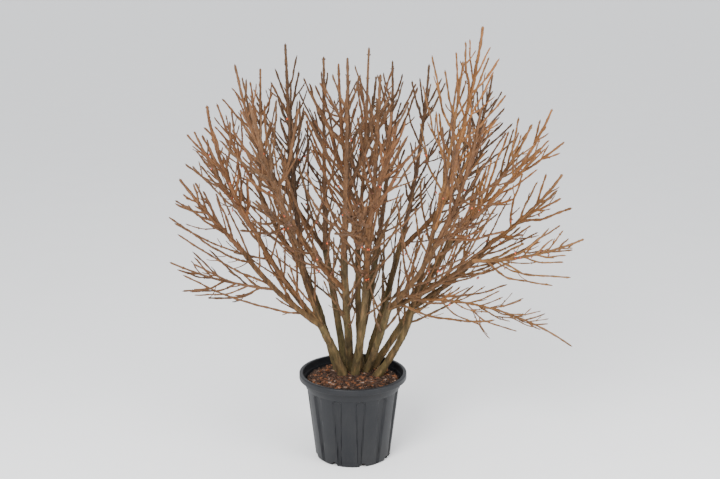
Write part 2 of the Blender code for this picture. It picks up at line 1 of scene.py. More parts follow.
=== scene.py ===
"""The looks of a potted burning bush in winter: pot, potting bark, winged wood, twigs and fruit.

Metres, +Z up, +X to the right and +Y away from the viewer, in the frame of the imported
model. Azimuths are degrees about the pot's axis, from +X towards +Y, and a reach is a
distance from that axis. The limbs and the main twigs follow the same rows and the same
seeded rule as the solids, and are carried on from there to side twigs, buds and fruit.
"""

import json
import math
import random
from collections import namedtuple
from functools import lru_cache

import bpy
import numpy as np
from bpy.props import FloatProperty, FloatVectorProperty, IntProperty, PointerProperty
from bpy.types import Operator, Panel, PropertyGroup
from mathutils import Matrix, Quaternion, Vector

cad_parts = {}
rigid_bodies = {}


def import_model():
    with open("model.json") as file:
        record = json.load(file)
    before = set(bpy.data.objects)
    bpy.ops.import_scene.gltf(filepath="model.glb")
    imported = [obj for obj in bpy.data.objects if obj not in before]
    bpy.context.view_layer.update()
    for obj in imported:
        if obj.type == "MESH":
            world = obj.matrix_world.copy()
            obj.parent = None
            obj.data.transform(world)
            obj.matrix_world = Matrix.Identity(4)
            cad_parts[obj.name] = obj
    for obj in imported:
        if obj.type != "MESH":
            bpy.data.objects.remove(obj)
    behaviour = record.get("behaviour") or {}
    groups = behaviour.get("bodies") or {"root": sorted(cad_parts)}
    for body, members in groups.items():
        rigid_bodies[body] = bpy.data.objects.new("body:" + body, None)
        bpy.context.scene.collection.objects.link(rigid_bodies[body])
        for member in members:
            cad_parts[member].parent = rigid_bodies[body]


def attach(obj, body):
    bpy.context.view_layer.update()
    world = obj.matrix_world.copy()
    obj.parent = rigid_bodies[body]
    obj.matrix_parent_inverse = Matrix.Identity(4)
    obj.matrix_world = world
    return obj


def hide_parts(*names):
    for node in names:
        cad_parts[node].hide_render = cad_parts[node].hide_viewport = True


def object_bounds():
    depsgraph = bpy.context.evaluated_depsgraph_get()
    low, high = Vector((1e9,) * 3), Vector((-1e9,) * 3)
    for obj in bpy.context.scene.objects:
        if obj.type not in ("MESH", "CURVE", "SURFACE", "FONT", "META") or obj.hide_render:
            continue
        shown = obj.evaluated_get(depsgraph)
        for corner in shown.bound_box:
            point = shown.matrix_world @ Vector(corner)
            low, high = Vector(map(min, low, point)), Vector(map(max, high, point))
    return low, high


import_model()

CAD_LOW, CAD_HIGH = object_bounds()

bl_info = {
    "name": "Potted burning bush in winter",
    "version": (1, 0, 0),
    "blender": (4, 5, 0),
    "location": "View3D > Sidebar > Burning bush",
    "description": "Builds a bare winged shrub in a fluted nursery pot around its packed solids",
    "category": "Add Mesh",
}

# Pot
POT_HEIGHT = 0.345
LIP_RADIUS = 0.212
LIP_DEPTH = 0.023
LIP_MOUTH_RADIUS = 0.1975
LIP_ROUNDING = 0.004
MOUTH_TAPER = 0.001
MOUTH_DEPTH = 0.010
COLLAR_RADIUS = 0.189
BAND_HEIGHT = 0.300
BAND_STEP = 0.0045
BAND_EASE = 0.8
BAND_EDGE = 0.002
COLLAR_SWELL = 0.003
COLLAR_EASE = 0.0008
STEP_EASE = 0.0006
BODY_TOP = 0.287
BODY_TOP_RADIUS = 0.1825
BASE_RADIUS = 0.1485
BASE_CHAMFER = 0.004
FLUTES = 12
FLUTE_TURN = math.radians(-80)
FLUTE_DEPTH = 0.0075
FLUTE_TOP_WIDTH = 0.046
FLUTE_FOOT_WIDTH = 0.015
FLUTE_FLOOR_SHARE = 0.62
FLUTE_ARCH = 0.014
FLUTE_END = 0.005
FLUTE_COLUMNS = 24
BODY_RINGS = 34
FIRST_BODY_RING = 0.02
ARCH_LEAD = 0.008
SMOOTH_ANGLE = math.radians(32)
ROUND_STEPS = 5
POT_FLOOR = 0.006
NOTCHES = 8
NOTCH_TURN = math.radians(-74)
NOTCH_WIDTH = 0.026
NOTCH_HEIGHT = 0.016
NOTCH_CUTTER_DEPTH = 0.03
NOTCH_CUTTER_SIDES = 32

# Potting bark
SOIL_TOP = 0.317
BED_DROP = 0.006
BED_RINGS = 28
BED_COLUMNS = 96
BED_WALL_GAP = 0.0055
BED_RADIUS = COLLAR_RADIUS - BED_WALL_GAP
BED_LAST_RING = 0.01
BED_LUMPS = 0.0025
BED_SEED = 3
CHIP_SEED = 5
CHIP_SIZES = (0.25, 1.0)
CHIP_SIZE_POWER = 1.5
CHIP_WIDTHS = (0.3, 0.6)
CHIP_THICKNESSES = (0.10, 0.22)
CHIP_LEAST_THICKNESS = 0.0006
CHIP_CORNER_SHARES = (0.6, 1.1)
CHIP_TILT = 0.24
CHIP_EDGE_GAP = 0.002
CHIP_SEAT = 0.005
CHIP_MOUND = 0.005
CHIP_HEIGHTS = (-0.002, 0.004)
CHIP_TINTS = (0.6, 1.9)
WARM_CHIPS_FROM = 0.72
WARM_SHARES = (0.25, 1.0)
PALE_CHIPS_FROM = 0.95
PALE_TINTS = (0.5, 1.0)
PALE_CHIP = np.array((0.30, 0.20, 0.15))

# Limbs, as the solids have them
GAP = 0.0003
LIMB_CLEARANCE = 0.002
TWIG_CLEARANCE = 0.001
ROOT_FLARE = 1.35
ROOT_FLARE_HEIGHT = 0.07
LIMB_STEP = 0.075
MASS_STEM_STEP = 0.11
SWING_STEP = 3.0
SWING_TRIES = 9
FORK_ZONE = 0.10
COLLAR_STEP = 0.004
COLLAR_LIMIT = 0.14
JOINT_TO_BEND = 0.006
LEAST_SPAN = 0.001

Stem = namedtuple("Stem", "name x y azimuth reach height bow thick thin")
STEMS = [
    Stem("left_stem", -0.040, 0.036, 194, 0.125, 0.54, -0.03, 0.0175, 0.0150),
    Stem("front_stem", 0.008, 0.038, 314, 0.08, 0.83, 0.05, 0.0160, 0.0125),
    Stem("low_right_stem", 0.094, 0.018, 0, 0.235, 0.61, 0.07, 0.0150, 0.0130),
    Stem("front_right_stem", 0.052, 0.070, 338, 0.15, 0.62, 0.03, 0.0155, 0.0130),
    Stem("front_left_stem", -0.012, 0.084, 253, 0.11, 0.84, 0.01, 0.0180, 0.0145),
    Stem("left_back_stem", -0.062, 0.084, 146, 0.24, 0.73, -0.02, 0.0150, 0.0125),
    Stem("centre_stem", 0.030, 0.112, 81, 0.12, 0.81, 0.01, 0.0140, 0.0115),
    Stem("back_left_stem", -0.035, 0.131, 113, 0.29, 0.77, -0.02, 0.0170, 0.0140),
    Stem("right_stem", 0.079, 0.115, 11, 0.40, 0.88, 0.02, 0.0155, 0.0120),
    Stem("back_stem", 0.008, 0.156, 72, 0.33, 0.78, 0.02, 0.0160, 0.0130),
    Stem("back_right_stem", 0.052, 0.150, 46, 0.30, 0.87, 0.01, 0.0145, 0.0115),
]

# A limb leaves its parent at a share of the parent's length
Limb = namedtuple("Limb", "name parent along azimuth reach height bow thick thin")
BOUGHS = [
    Limb("left_low_bough", "left_stem", 1.0, 191, 0.42, 0.85, 0.06, 0.0130, 0.0105),
    Limb("left_mid_bough", "left_stem", 1.0, 176, 0.37, 0.89, 0.05, 0.0130, 0.0105),
    Limb("left_up_bough", "left_stem", 0.93, 166, 0.26, 0.93, 0.03, 0.0115, 0.0095),
    Limb("left_back_bough", "left_back_stem", 1.0, 150, 0.43, 1.02, 0.05, 0.0110, 0.0090),
    Limb("back_left_bough", "back_left_stem", 1.0, 124, 0.49, 0.99, 0.05, 0.0120, 0.0095),
    Limb("front_left_bough", "front_left_stem", 0.72, 232, 0.33, 0.98, 0.05, 0.0120, 0.0095),
    Limb("front_bough", "front_stem", 0.80, 281, 0.30, 1.00, 0.05, 0.0115, 0.0095),
    Limb("right_low_bough", "front_right_stem", 1.0, 347, 0.46, 0.82, 0.05, 0.0115, 0.0095),
    Limb("front_right_bough", "front_right_stem", 1.0, 318, 0.41, 0.93, 0.05, 0.0115, 0.0095),
    Limb("right_bough", "low_right_stem", 1.0, 2, 0.53, 0.86, 0.06, 0.0115, 0.0095),
    Limb("right_up_bough", "low_right_stem", 1.0, 358, 0.31, 0.92, 0.00, 0.0115, 0.0100),
    Limb("back_right_bough", "back_right_stem", 0.85, 37, 0.50, 1.00, 0.05, 0.0110, 0.0090),
    Limb("back_bough", "back_stem", 1.0, 92, 0.49, 0.98, 0.05, 0.0115, 0.0095),
]
MASSES = [
    Limb("left_low_mass", "left_low_bough", 1.0, 189, 0.645, 1.13, 0.02, 0.0095, 0.0046),
    Limb("left_skirt_mass", "left_low_bough", 0.55, 178, 0.706, 0.78, 0.06, 0.0065, 0.0042),
    Limb("left_mid_mass", "left_mid_bough", 1.0, 180, 0.543, 1.39, 0.07, 0.0095, 0.0046),
    Limb("left_outer_mass", "left_mid_bough", 1.0, 165, 0.64, 1.27, 0.05, 0.0080, 0.0042),
    Limb("left_up_mass", "left_up_bough", 1.0, 170, 0.45, 1.535, 0.04, 0.0088, 0.0046),
    Limb("left_back_mass", "left_back_bough", 1.0, 150, 0.63, 1.36, 0.05, 0.0080, 0.0042),
    Limb("left_back_up_mass", "left_back_bough", 1.0, 138, 0.50, 1.50, 0.04, 0.0080, 0.0042),
    Limb("back_left_up_mass", "left_back_stem", 1.0, 133, 0.39, 1.60, 0.05, 0.0115, 0.0046),
    Limb("back_left_low_mass", "back_left_bough", 1.0, 131, 0.70, 1.15, 0.05, 0.0080, 0.0042),
    Limb("back_left_mass", "back_left_bough", 1.0, 116, 0.60, 1.42, 0.06, 0.0088, 0.0042),
    Limb("back_left_top_mass", "back_left_stem", 1.0, 109, 0.36, 1.545, 0.03, 0.0125, 0.0046),
    Limb("front_left_mass", "front_left_bough", 1.0, 226, 0.50, 1.44, 0.06, 0.0088, 0.0042),
    Limb("front_left_low_mass", "front_left_bough", 1.0, 240, 0.63, 1.14, 0.05, 0.0080, 0.0042),
    Limb("front_left_up_mass", "front_left_stem", 1.0, 262, 0.12, 1.575, 0.01, 0.0130, 0.0050),
    Limb("centre_mass", "centre_stem", 1.0, 40, 0.08, 1.60, 0.02, 0.0105, 0.0046),
    Limb("centre_back_mass", "centre_stem", 1.0, 106, 0.20, 1.53, 0.04, 0.0095, 0.0046),
    Limb("front_mass", "front_bough", 1.0, 287, 0.46, 1.42, 0.06, 0.0088, 0.0042),
    Limb("front_low_mass", "front_bough", 1.0, 268, 0.60, 1.12, 0.05, 0.0080, 0.0042),
    Limb("front_up_mass", "front_stem", 1.0, 300, 0.20, 1.52, 0.03, 0.0115, 0.0046),
    Limb("right_low_mass", "right_low_bough", 1.0, 357, 0.876, 0.89, 0.07, 0.0080, 0.0042),
    Limb("right_droop_mass", "right_low_bough", 0.22, 350, 0.84, 0.50, -0.12, 0.0052, 0.0030),
    Limb("front_right_mass", "front_right_bough", 1.0, 322, 0.56, 1.42, 0.06, 0.0088, 0.0042),
    Limb("front_right_low_mass", "front_right_bough", 1.0, 312, 0.66, 1.10, 0.05, 0.0070, 0.0042),
    Limb("right_long_mass", "right_stem", 1.0, 12, 0.71, 1.30, 0.06, 0.0095, 0.0042),
    Limb("right_far_mass", "right_stem", 1.0, 358, 0.74, 1.38, 0.09, 0.0100, 0.0046),
    Limb("right_outer_mass", "right_bough", 1.0, 352, 0.78, 1.15, 0.06, 0.0088, 0.0042),
    Limb("right_top_mass", "right_up_bough", 1.0, 1, 0.48, 1.68, 0.03, 0.0095, 0.0050),
    Limb("right_up_mass", "right_up_bough", 1.0, 20, 0.45, 1.54, 0.04, 0.0088, 0.0046),
    Limb("back_right_low_mass", "back_right_bough", 1.0, 38, 0.72, 1.20, 0.05, 0.0080, 0.0042),
    Limb("back_right_far_mass", "back_right_bough", 1.0, 27, 0.62, 1.48, 0.06, 0.0088, 0.0042),
    Limb("back_right_mass", "back_right_stem", 1.0, 52, 0.50, 1.51, 0.06, 0.0105, 0.0046),
    Limb("back_low_mass", "back_bough", 1.0, 92, 0.67, 1.14, 0.05, 0.0080, 0.0042),
    Limb("back_mass", "back_bough", 1.0, 80, 0.55, 1.45, 0.06, 0.0088, 0.0042),
    Limb("back_up_mass", "back_stem", 1.0, 64, 0.36, 1.53, 0.03, 0.0120, 0.0046),
]

# Main twigs: opposite pairs, each pair turned from the one below, as the solids have them
CROWN_MIDDLE = Vector((0.08, 0.06, 0.98))
CROWN_HALF_SIZE = Vector((0.80, 0.70, 0.76))
OUTLINE_SHARE = 0.97
CROWN_FLOOR = 0.50
CROWN_FOOT = Vector((0.01, 0.08, 0.10))
NODE_SPACING = 0.048
FIRST_NODE = 0.03
LAST_NODE_SHARE = 0.80
PAIR_TURN = 90.0
PAIR_TURN_SPREAD = 35.0
TWIG_ANGLE_FOOT = 40.0
TWIG_ANGLE_TIP = 30.0
TWIG_ANGLE_SPREAD = 10.0
TWIG_LENGTH_FOOT = 0.62
TWIG_LENGTH_TIP = 0.20
TWIG_LENGTH_LEAST = 0.45
VIGOROUS_STEM = 0.0075
TWIG_LIFT = 0.55
TWIG_RADIUS = 0.0042
TWIG_RADIUS_SHARE = 0.62
TWIG_BEND_SHARE = 0.40
TWIG_ROOT_CLEAR = 0.025
SHRINKS = (1.0, 0.8, 0.6, 0.4, 0.25)

# Wood of each age: section, ring step, the share of the width that is core and not wing
Wood_Age = namedtuple("Wood_Age", "sides step core_share wing_share furrow wander internode")
STEM_WOOD = Wood_Age(28, 0.0060, 0.90, 0.22, 0.09, 0.16, 0.085)
BOUGH_WOOD = Wood_Age(20, 0.0060, 0.84, 0.28, 0.08, 0.20, 0.070)
LEADER_WOOD = Wood_Age(16, 0.0065, 0.80, 0.50, 0.06, 0.45, 0.048)
TWIG_WOOD = Wood_Age(8, 0.0085, 0.84, 0.74, 0.04, 0.75, 0.048)
SIDE_WOOD = Wood_Age(8, 0.0095, 0.68, 0.62, 0.03, 0.30, 0.040)
SPUR_WOOD = Wood_Age(4, 0.0110, 1.00, 0.00, 0.03, 0.20, 0.030)
WINGS = 4
WING_LENS_POWER = 0.6
WING_RAGGED = (0.45, 1.20)
TIP_ROUNDING = 0.9
TWIG_END_SHARE = 0.74
SIDE_TWIG_END_SHARE = 0.72
STEM_SINK = 0.006

# Side twigs: where on their carrier they stand, how often, how long and how stout
Order = namedtuple("Order", "first last spacing chance longest growth least radius angle lift wood")
ON_STEM = Order(0.22, 0.98, 0.048, 0.46, 0.46, 9.0, 0.30, 0.0048, 44, 0.9, SIDE_WOOD)
ON_BOUGH = Order(0.05, 0.98, 0.042, 0.56, 0.50, 9.0, 0.30, 0.0048, 42, 0.8, SIDE_WOOD)
ON_LEADER = Order(0.05, 0.80, 0.040, 0.20, 0.30, 0.5, 0.25, 0.0036, 40, 0.6, SIDE_WOOD)
ON_TWIG = Order(0.035, 0.70, 0.046, 0.17, 0.32, 0.62, 0.30, 0.0036, 38, 0.6, SIDE_WOOD)
ON_SIDE_TWIG = Order(0.026, 0.80, 0.036, 0.10, 0.080, 0.6, 0.30, 0.0024, 44, 0.5, SPUR_WOOD)
SIDE_GROWTH_BASE = 0.015
LEAST_CARRIER = 0.055
UPRIGHT = 0.9
BOX_MARGIN = 0.008
TWIG_FLOOR = 0.43

# Seeds and spreads of the random draws
OLD_WOOD_SEED = 21
BUD_SEED = 31
HUE_SPREAD = 0.10
LIMB_TINT_SPREAD = 0.15
TWIG_TINT_SPREAD = 0.22
SIDE_TINTS = (0.85, 1.15)
SIDE_RADII = (0.8, 1.1)
SIDE_SPACINGS = (0.8, 1.2)
STOUTEST_SIDE_TWIG = 0.9
SIDE_TURN_SPREAD = 0.3
SIDE_AIM_SPREAD = 0.15
SIDE_ANGLE_SPREAD = 9
HEADING_SPREAD = 0.12
BEND_PASSES = 8

BUD_SEAT = 0.6
BUD_TINT = 0.8
BUD_SCALES = (0.7, 1.15)
BUD_LENGTH = 0.0075
BUD_WIDTH = 0.0021
BUD_ANGLE = math.radians(24)

# The side of the crown that a limb belongs to, by the first word of its name; each side's spray colour
# carries painted light and shade
GROUPS = {
    "left": "left",
    "front": "front",
    "centre": "front",
    "right": "right",
    "low": "right",
    "back": "back",
}


# Shader sums

class Wire:
    """The output of a shader node, which takes part in sums as a number does."""

    def __init__(self, paint, socket):
        self.paint = paint
        self.socket = socket

    def math(self, operation, first, second):
        return self.paint.node("ShaderNodeMath", {"operation": operation}, (first, second))

    def __add__(self, other):
        return self.math("ADD", self, other)

    def __sub__(self, other):
        return self.math("SUBTRACT", self, other)

    def __rsub__(self, other):
        return self.math("SUBTRACT", other, self)

    def __mul__(self, other):
        return self.math("MULTIPLY", self, other)

    __radd__ = __add__
    __rmul__ = __mul__


class Paint:
    """A material under construction, with its Principled shader."""

    def __init__(self, name):
        self.material = bpy.data.materials.new(name)
        self.material.use_nodes = True
        self.tree = self.material.node_tree
        self.shader = self.tree.nodes["Principled BSDF"]

    def feed(self, socket, value):
        if isinstance(value, Wire):
            self.tree.links.new(value.socket, socket)
        else:
            socket.default_value = value

    def node(self, kind, settings=None, values=(), output=0):
        """A new node: its settings first, then the values or links of its sockets."""
        node = self.tree.nodes.new(kind)
        for key, value in (settings or {}).items():
            if key == "stops":
                set_stops(node.color_ramp, value)
            else:
                setattr(node, key, value)
        pairs = values.items() if isinstance(values, dict) else enumerate(values)
        for key, value in pairs:
            self.feed(node.inputs[key], value)
        return Wire(self, node.outputs[output])

    def place(self, stretch=(1.0, 1.0, 1.0)):
        coordinates = self.node("ShaderNodeTexCoord", output="Object")
        return self.node("ShaderNodeMapping", None, {"Vector": coordinates, "Scale": stretch})

    def height(self):
        return self.node("ShaderNodeSeparateXYZ", None, (self.place(),), "Z")

    def noise(self, scale, detail=3.0, stretch=(1.0, 1.0, 1.0)):
        values = {"Vector": self.place(stretch), "Scale": scale, "Detail": detail}
        return self.node("ShaderNodeTexNoise", None, values)

    def attribute(self, name, output):
        return self.node("ShaderNodeAttribute", {"attribute_name": name}, (), output)

    def span(self, value, low, high, to_low=0.0, to_high=1.0):
        """The value's share of the way from low to high, kept within its ends."""
        values = {"Value": value, "From Min": low, "From Max": high, "To Min": to_low, "To Max": to_high}
        return self.node("ShaderNodeMapRange", {"clamp": True}, values)

    def mix(self, share, first, second, blend="MIX"):
        settings = {"data_type": "RGBA", "blend_type": blend}
        return self.node("ShaderNodeMix", settings, {0: share, 6: first, 7: second}, 2)

    def shade(self, colour, share):
        """The colour made darker or lighter by a factor."""
        factor = self.node("ShaderNodeCombineXYZ", None, (share, share, share))
        return self.mix(1.0, colour, factor, "MULTIPLY")

    def finish(self, colour, roughness, height=None, bump=0.3, distance=0.001, specular=0.5):
        inputs = self.shader.inputs
        self.feed(inputs["Base Color"], colour)
        self.feed(inputs["Roughness"], roughness)
        inputs["Specular IOR Level"].default_value = specular
        if height:
            values = {"Strength": bump, "Distance": distance, "Height": height}
            self.feed(inputs["Normal"], self.node("ShaderNodeBump", None, values))
        return self.material


def set_stops(ramp, stops):
    while len(ramp.elements) < len(stops):
        ramp.elements.new(1.0)
    for element, (place, colour) in zip(ramp.elements, stops):
        element.position = place
        element.color = (*colour, 1.0)


def rgba(colour):
    return (*colour, 1.0)


# Meshes

class Bundle:
    """Many small shapes gathered for one joined mesh, with a tint and a cork share at each point."""

    def __init__(self):
        self.points = []
        self.quads = []
        self.triangles = []
        self.tints = []
        self.corks = []
        self.count = 0

    def add(self, points, quads, triangles, tint, cork=None):
        total = len(points)
        self.points.append(points)
        self.quads.append(quads + self.count)
        self.triangles.append(triangles + self.count)
        self.tints.append(np.broadcast_to(np.append(tint, 1.0), (total, 4)))
        self.corks.append(np.zeros(total) if cork is None else cork)
        self.count += total

    def build(self, name, material, smooth=True):
        quads = np.concatenate(self.quads)
        triangles = np.concatenate(self.triangles)
        corners = np.concatenate([quads.ravel(), triangles.ravel()]).astype(np.int32)
        quad_starts = np.arange(len(quads)) * 4
        triangle_starts = len(quads) * 4 + np.arange(len(triangles)) * 3
        starts = np.concatenate([quad_starts, triangle_starts]).astype(np.int32)
        mesh = bpy.data.meshes.new(name)
        mesh.vertices.add(self.count)
        mesh.vertices.foreach_set("co", np.concatenate(self.points).astype(np.float32).ravel())
        mesh.loops.add(len(corners))
        mesh.loops.foreach_set("vertex_index", corners)
        mesh.polygons.add(len(starts))
        mesh.polygons.foreach_set("loop_start", starts)
        mesh.polygons.foreach_set("use_smooth", np.full(len(starts), smooth))
        mesh.update(calc_edges=True)
        mesh.validate()
        tint = mesh.color_attributes.new("tint", "FLOAT_COLOR", "POINT")
        tint.data.foreach_set("color", np.concatenate(self.tints).astype(np.float32).ravel())
        cork = mesh.attributes.new("cork", "FLOAT", "POINT")
        cork.data.foreach_set("value", np.concatenate(self.corks).astype(np.float32))
        mesh.materials.append(material)
        piece = bpy.data.objects.new(name, mesh)
        bpy.context.scene.collection.objects.link(piece)
        return piece


NO_QUADS = np.zeros((0, 4), int)
NO_TRIANGLES = np.zeros((0, 3), int)


def ring_quads(rings, columns):
    """Quads between closed rings of points, outwards where the rings turn left going up."""
    low = np.arange(rings - 1)[:, None] * columns
    here = np.arange(columns)[None, :]
    following = (here + 1) % columns
    corners = (low + here, low + following, low + columns + following, low + columns + here)
    return np.stack(corners, axis=-1).reshape(-1, 4)


def closed_rings(layers, foot, top):
    """Points, quads and end fans of a stack of rings, closed by a point at each end."""
    count, columns = len(layers), len(layers[0])
    points = np.vstack([np.reshape(layers, (-1, 3)), foot, top])
    here = np.arange(columns)
    following = (here + 1) % columns
    last = (count - 1) * columns
    low = np.stack([np.full(columns, count * columns), following, here], axis=1)
    high = np.stack([last + here, last + following, np.full(columns, count * columns + 1)], axis=1)
    return points, ring_quads(count, columns), np.vstack([low, high])


def level_ring(reach, turns, height):
    """Points round the pot's axis, each at its own reach and height where these are arrays."""
    level = np.broadcast_to(height, turns.shape)
    return np.stack([reach * np.cos(turns), reach * np.sin(turns), level], axis=1)


def dress(piece, nodes=()):
    """The piece rides on the plant's one body and stands for the given solids."""
    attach(piece, "root")
    if nodes:
        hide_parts(*nodes)
    return piece


def deselect_all():
    for obj in bpy.context.selected_objects:
        obj.select_set(False)


def apply_modifier(piece, modifier):
    deselect_all()
    bpy.context.view_layer.objects.active = piece
    piece.select_set(True)
    bpy.ops.object.modifier_apply(modifier=modifier.name)


# Limb paths, by the rule of the solids

def polar(azimuth, reach, height):
    angle = math.radians(azimuth)
    return Vector((reach * math.cos(angle), reach * math.sin(angle), height))


def bowed_path(start, tip, bow, step):
    """Points along a limb that sags below its chord by about three quarters of the bow."""
    chord = tip - start
    level = Vector((chord.x, chord.y, 0.0))
    sag = chord.cross(Vector((0, 0, 1))).cross(chord)
    sag = -sag.normalized() if level.length > LEAST_SPAN else Vector((0, 0, 0))
    reach = bow * chord.length
    first = start + chord / 3 + sag * reach
    second = start + chord * 2 / 3 + sag * reach
    count = max(3, round(chord.length / step) + 1)
    path = []
    for index in range(count):
        t = index / (count - 1)
        s = 1 - t
        path.append(s**3 * start + 3 * s * s * t * first + 3 * s * t * t * second + t**3 * tip)
    return path


def path_lengths(path):
    lengths = [0.0]
    for a, b in zip(path, path[1:]):
        lengths.append(lengths[-1] + (b - a).length)
    return lengths


def point_along(path, distance):
    for a, b in zip(path, path[1:]):
        span = (b - a).length
        if distance <= span:
            return a + (b - a) * (distance / span), (b - a).normalized()
        distance -= span
    return path[-1].copy(), (path[-1] - path[-2]).normalized()


def part_of_path(path, start, end):
    """The path between two distances along it."""
    lengths = path_lengths(path)
    end = min(end, lengths[-1])
    inner = [p for p, at in zip(path, lengths) if start + LEAST_SPAN < at < end - LEAST_SPAN]
    return [point_along(path, start)[0], *inner, point_along(path, end)[0]]


def distances(path, others):
    """Least distance between each of the path's segments and each other segment."""
    a = np.array([tuple(p) for p in path])
    p0, p1 = a[:-1, None, :], a[1:, None, :]
    q0, q1 = others[None, :, 0:3], others[None, :, 3:6]
    d1, d2, r = p1 - p0, q1 - q0, p0 - q0
    aa = (d1 * d1).sum(-1)
    ee = (d2 * d2).sum(-1)
    f = (d2 * r).sum(-1)
    c = (d1 * r).sum(-1)
    b = (d1 * d2).sum(-1)
    denom = np.maximum(aa * ee - b * b, 1e-15)
    s = np.clip((b * f - c * ee) / denom, 0, 1)
    t = np.clip((b * s + f) / ee, 0, 1)
    s = np.clip((b * t - c) / aa, 0, 1)
    gap = (p0 + d1 * s[..., None]) - (q0 + d2 * t[..., None])
    return np.sqrt((gap * gap).sum(-1))


class Wood:
    """Every length of wood placed so far, as segments with a radius and an owner."""

    def __init__(self):
        self.segments = np.zeros((0, 7))
        self.owners = np.zeros(0, dtype=object)

    def add(self, owner, path, radii):
        rows = [[*a, *b, radius] for a, b, radius in zip(path, path[1:], radii)]
        self.segments = np.vstack([self.segments, rows])
        self.owners = np.append(self.owners, [owner] * len(rows))

    def clearance(self, path, radius, only=None, leave_out=()):
        """Least air between the path and what is placed."""
        if only is None:
            keep = ~np.isin(self.owners, list(leave_out))
        else:
            keep = np.isin(self.owners, list(only))
        rows = self.segments[keep]
        if not len(rows):
            return math.inf
        return float((distances(path, rows) - rows[:, 6] - radius).min())

    def nearest_owner(self, point, owners):
        keep = np.isin(self.owners, list(owners))
        rows = self.segments[keep]
        best = distances([point, point + Vector((0, 0, LEAST_SPAN))], rows)[0].argmin()
        return self.owners[keep][best]


class Branch:
    """A limb with its path, its radii and the place where its own solid begins."""

    def __init__(self, row, path):
        self.row = row
        self.path = path
        self.length = path_lengths(path)[-1]
        self.begins = 0.0

    def radius_at(self, distance):
        share = min(distance / self.length, 1.0)
        return self.row.thick + (self.row.thin - self.row.thick) * share

    def radii(self):
        return [self.radius_at(at) for at in path_lengths(self.path)]


def swung_path(row, start, wood, family, step):
    """The limb's path, swung aside in small steps until it clears the wood before it."""
    best = None
    for index in range(SWING_TRIES):
        swing = SWING_STEP * ((index + 1) // 2) * (1 if index % 2 else -1)
        path = bowed_path(start, polar(row.azimuth + swing, row.reach, row.height), row.bow, step)
        whole = path_lengths(path)[-1]
        free = part_of_path(path, min(FORK_ZONE, whole / 2), whole)
        air = min(
            wood.clearance(path, row.thick, leave_out=family),
            wood.clearance(free, row.thick, only=family),
        )
        if air > LIMB_CLEARANCE:
            return path
        if best is None or air > best[0]:
            best = (air, path)
    return best[1]


def family_of(row):
    """A limb's parent, with the other limbs that grow from it."""
    others = {r.name for r in BOUGHS + MASSES if r.parent == row.parent and r is not row}
    return others | {row.parent}


def collar_length(branch, wood):
    """How far out a limb first stands clear of its parent and of its parent's other limbs."""
    family = family_of(branch.row)
    reach = COLLAR_LIMIT
    while reach > COLLAR_STEP:
        piece = part_of_path(branch.path, reach - COLLAR_STEP, reach)
        if wood.clearance(piece, branch.radius_at(reach), only=family) < LIMB_CLEARANCE:
            break
        reach -= COLLAR_STEP
    reach += COLLAR_STEP
    for bend in path_lengths(branch.path):
        if abs(bend - reach) < JOINT_TO_BEND:
            return bend + JOINT_TO_BEND
    return reach


def plan_limbs():
    """Paths of all stems, boughs and mass stems, and where each one's solid begins."""
    wood = Wood()
    branches = {}
    for row in STEMS:
        foot = Vector((row.x, row.y, SOIL_TOP + GAP))
        branches[row.name] = Branch(row, swung_path(row, foot, wood, (), LIMB_STEP))
        wood.add(row.name, branches[row.name].path, branches[row.name].radii())
    for row in BOUGHS + MASSES:
        parent = branches[row.parent]
        start = point_along(parent.path, parent.length * row.along)[0]
        step = MASS_STEM_STEP if row in MASSES else LIMB_STEP
        branches[row.name] = Branch(row, swung_path(row, start, wood, family_of(row), step))
        wood.add(row.name, branches[row.name].path, branches[row.name].radii())
    for row in BOUGHS + MASSES:
        branches[row.name].begins = collar_length(branches[row.name], wood)
    return branches, wood


# Main twigs, by the rule of the solids

def in_crown(point):
    """Whether a point lies in the dome that the whole crown fills."""
    offset = point - CROWN_MIDDLE
    shares = [offset[axis] / CROWN_HALF_SIZE[axis] for axis in range(3)]
    return sum(share * share for share in shares) < 1 and point.z > CROWN_FLOOR


def twig_path(root, along, turn, angle, length):
    """A twig that leaves its stem at an angle, then bends up and out to the light."""
    side = along.orthogonal().normalized()
    side.rotate(Quaternion(along, turn))
    leaving = along * math.cos(angle) + side * math.sin(angle)
    light = (root - CROWN_FOOT).normalized()
    lifted = (leaving + light * TWIG_LIFT).normalized()
    bend = root + leaving * length * TWIG_BEND_SHARE
    return [root, bend, bend + lifted * length * (1 - TWIG_BEND_SHARE)]


def leader_reaches(branches):
    """How far from the crown's foot each mass's own stem reaches."""
    return {row.name: (branches[row.name].path[-1] - CROWN_FOOT).length for row in MASSES}


def twig_fits(path, radius, mass, wood, leaders):
    if not all(in_crown(point) for point in path[1:]):
        return False
    if (path[-1] - CROWN_FOOT).length > OUTLINE_SHARE * leaders[mass]:
        return False
    if any(wood.nearest_owner(point, leaders.keys()) != mass for point in path[1:]):
        return False
    whole = path_lengths(path)[-1]
    return wood.clearance(part_of_path(path, TWIG_ROOT_CLEAR, whole), radius) > TWIG_CLEARANCE


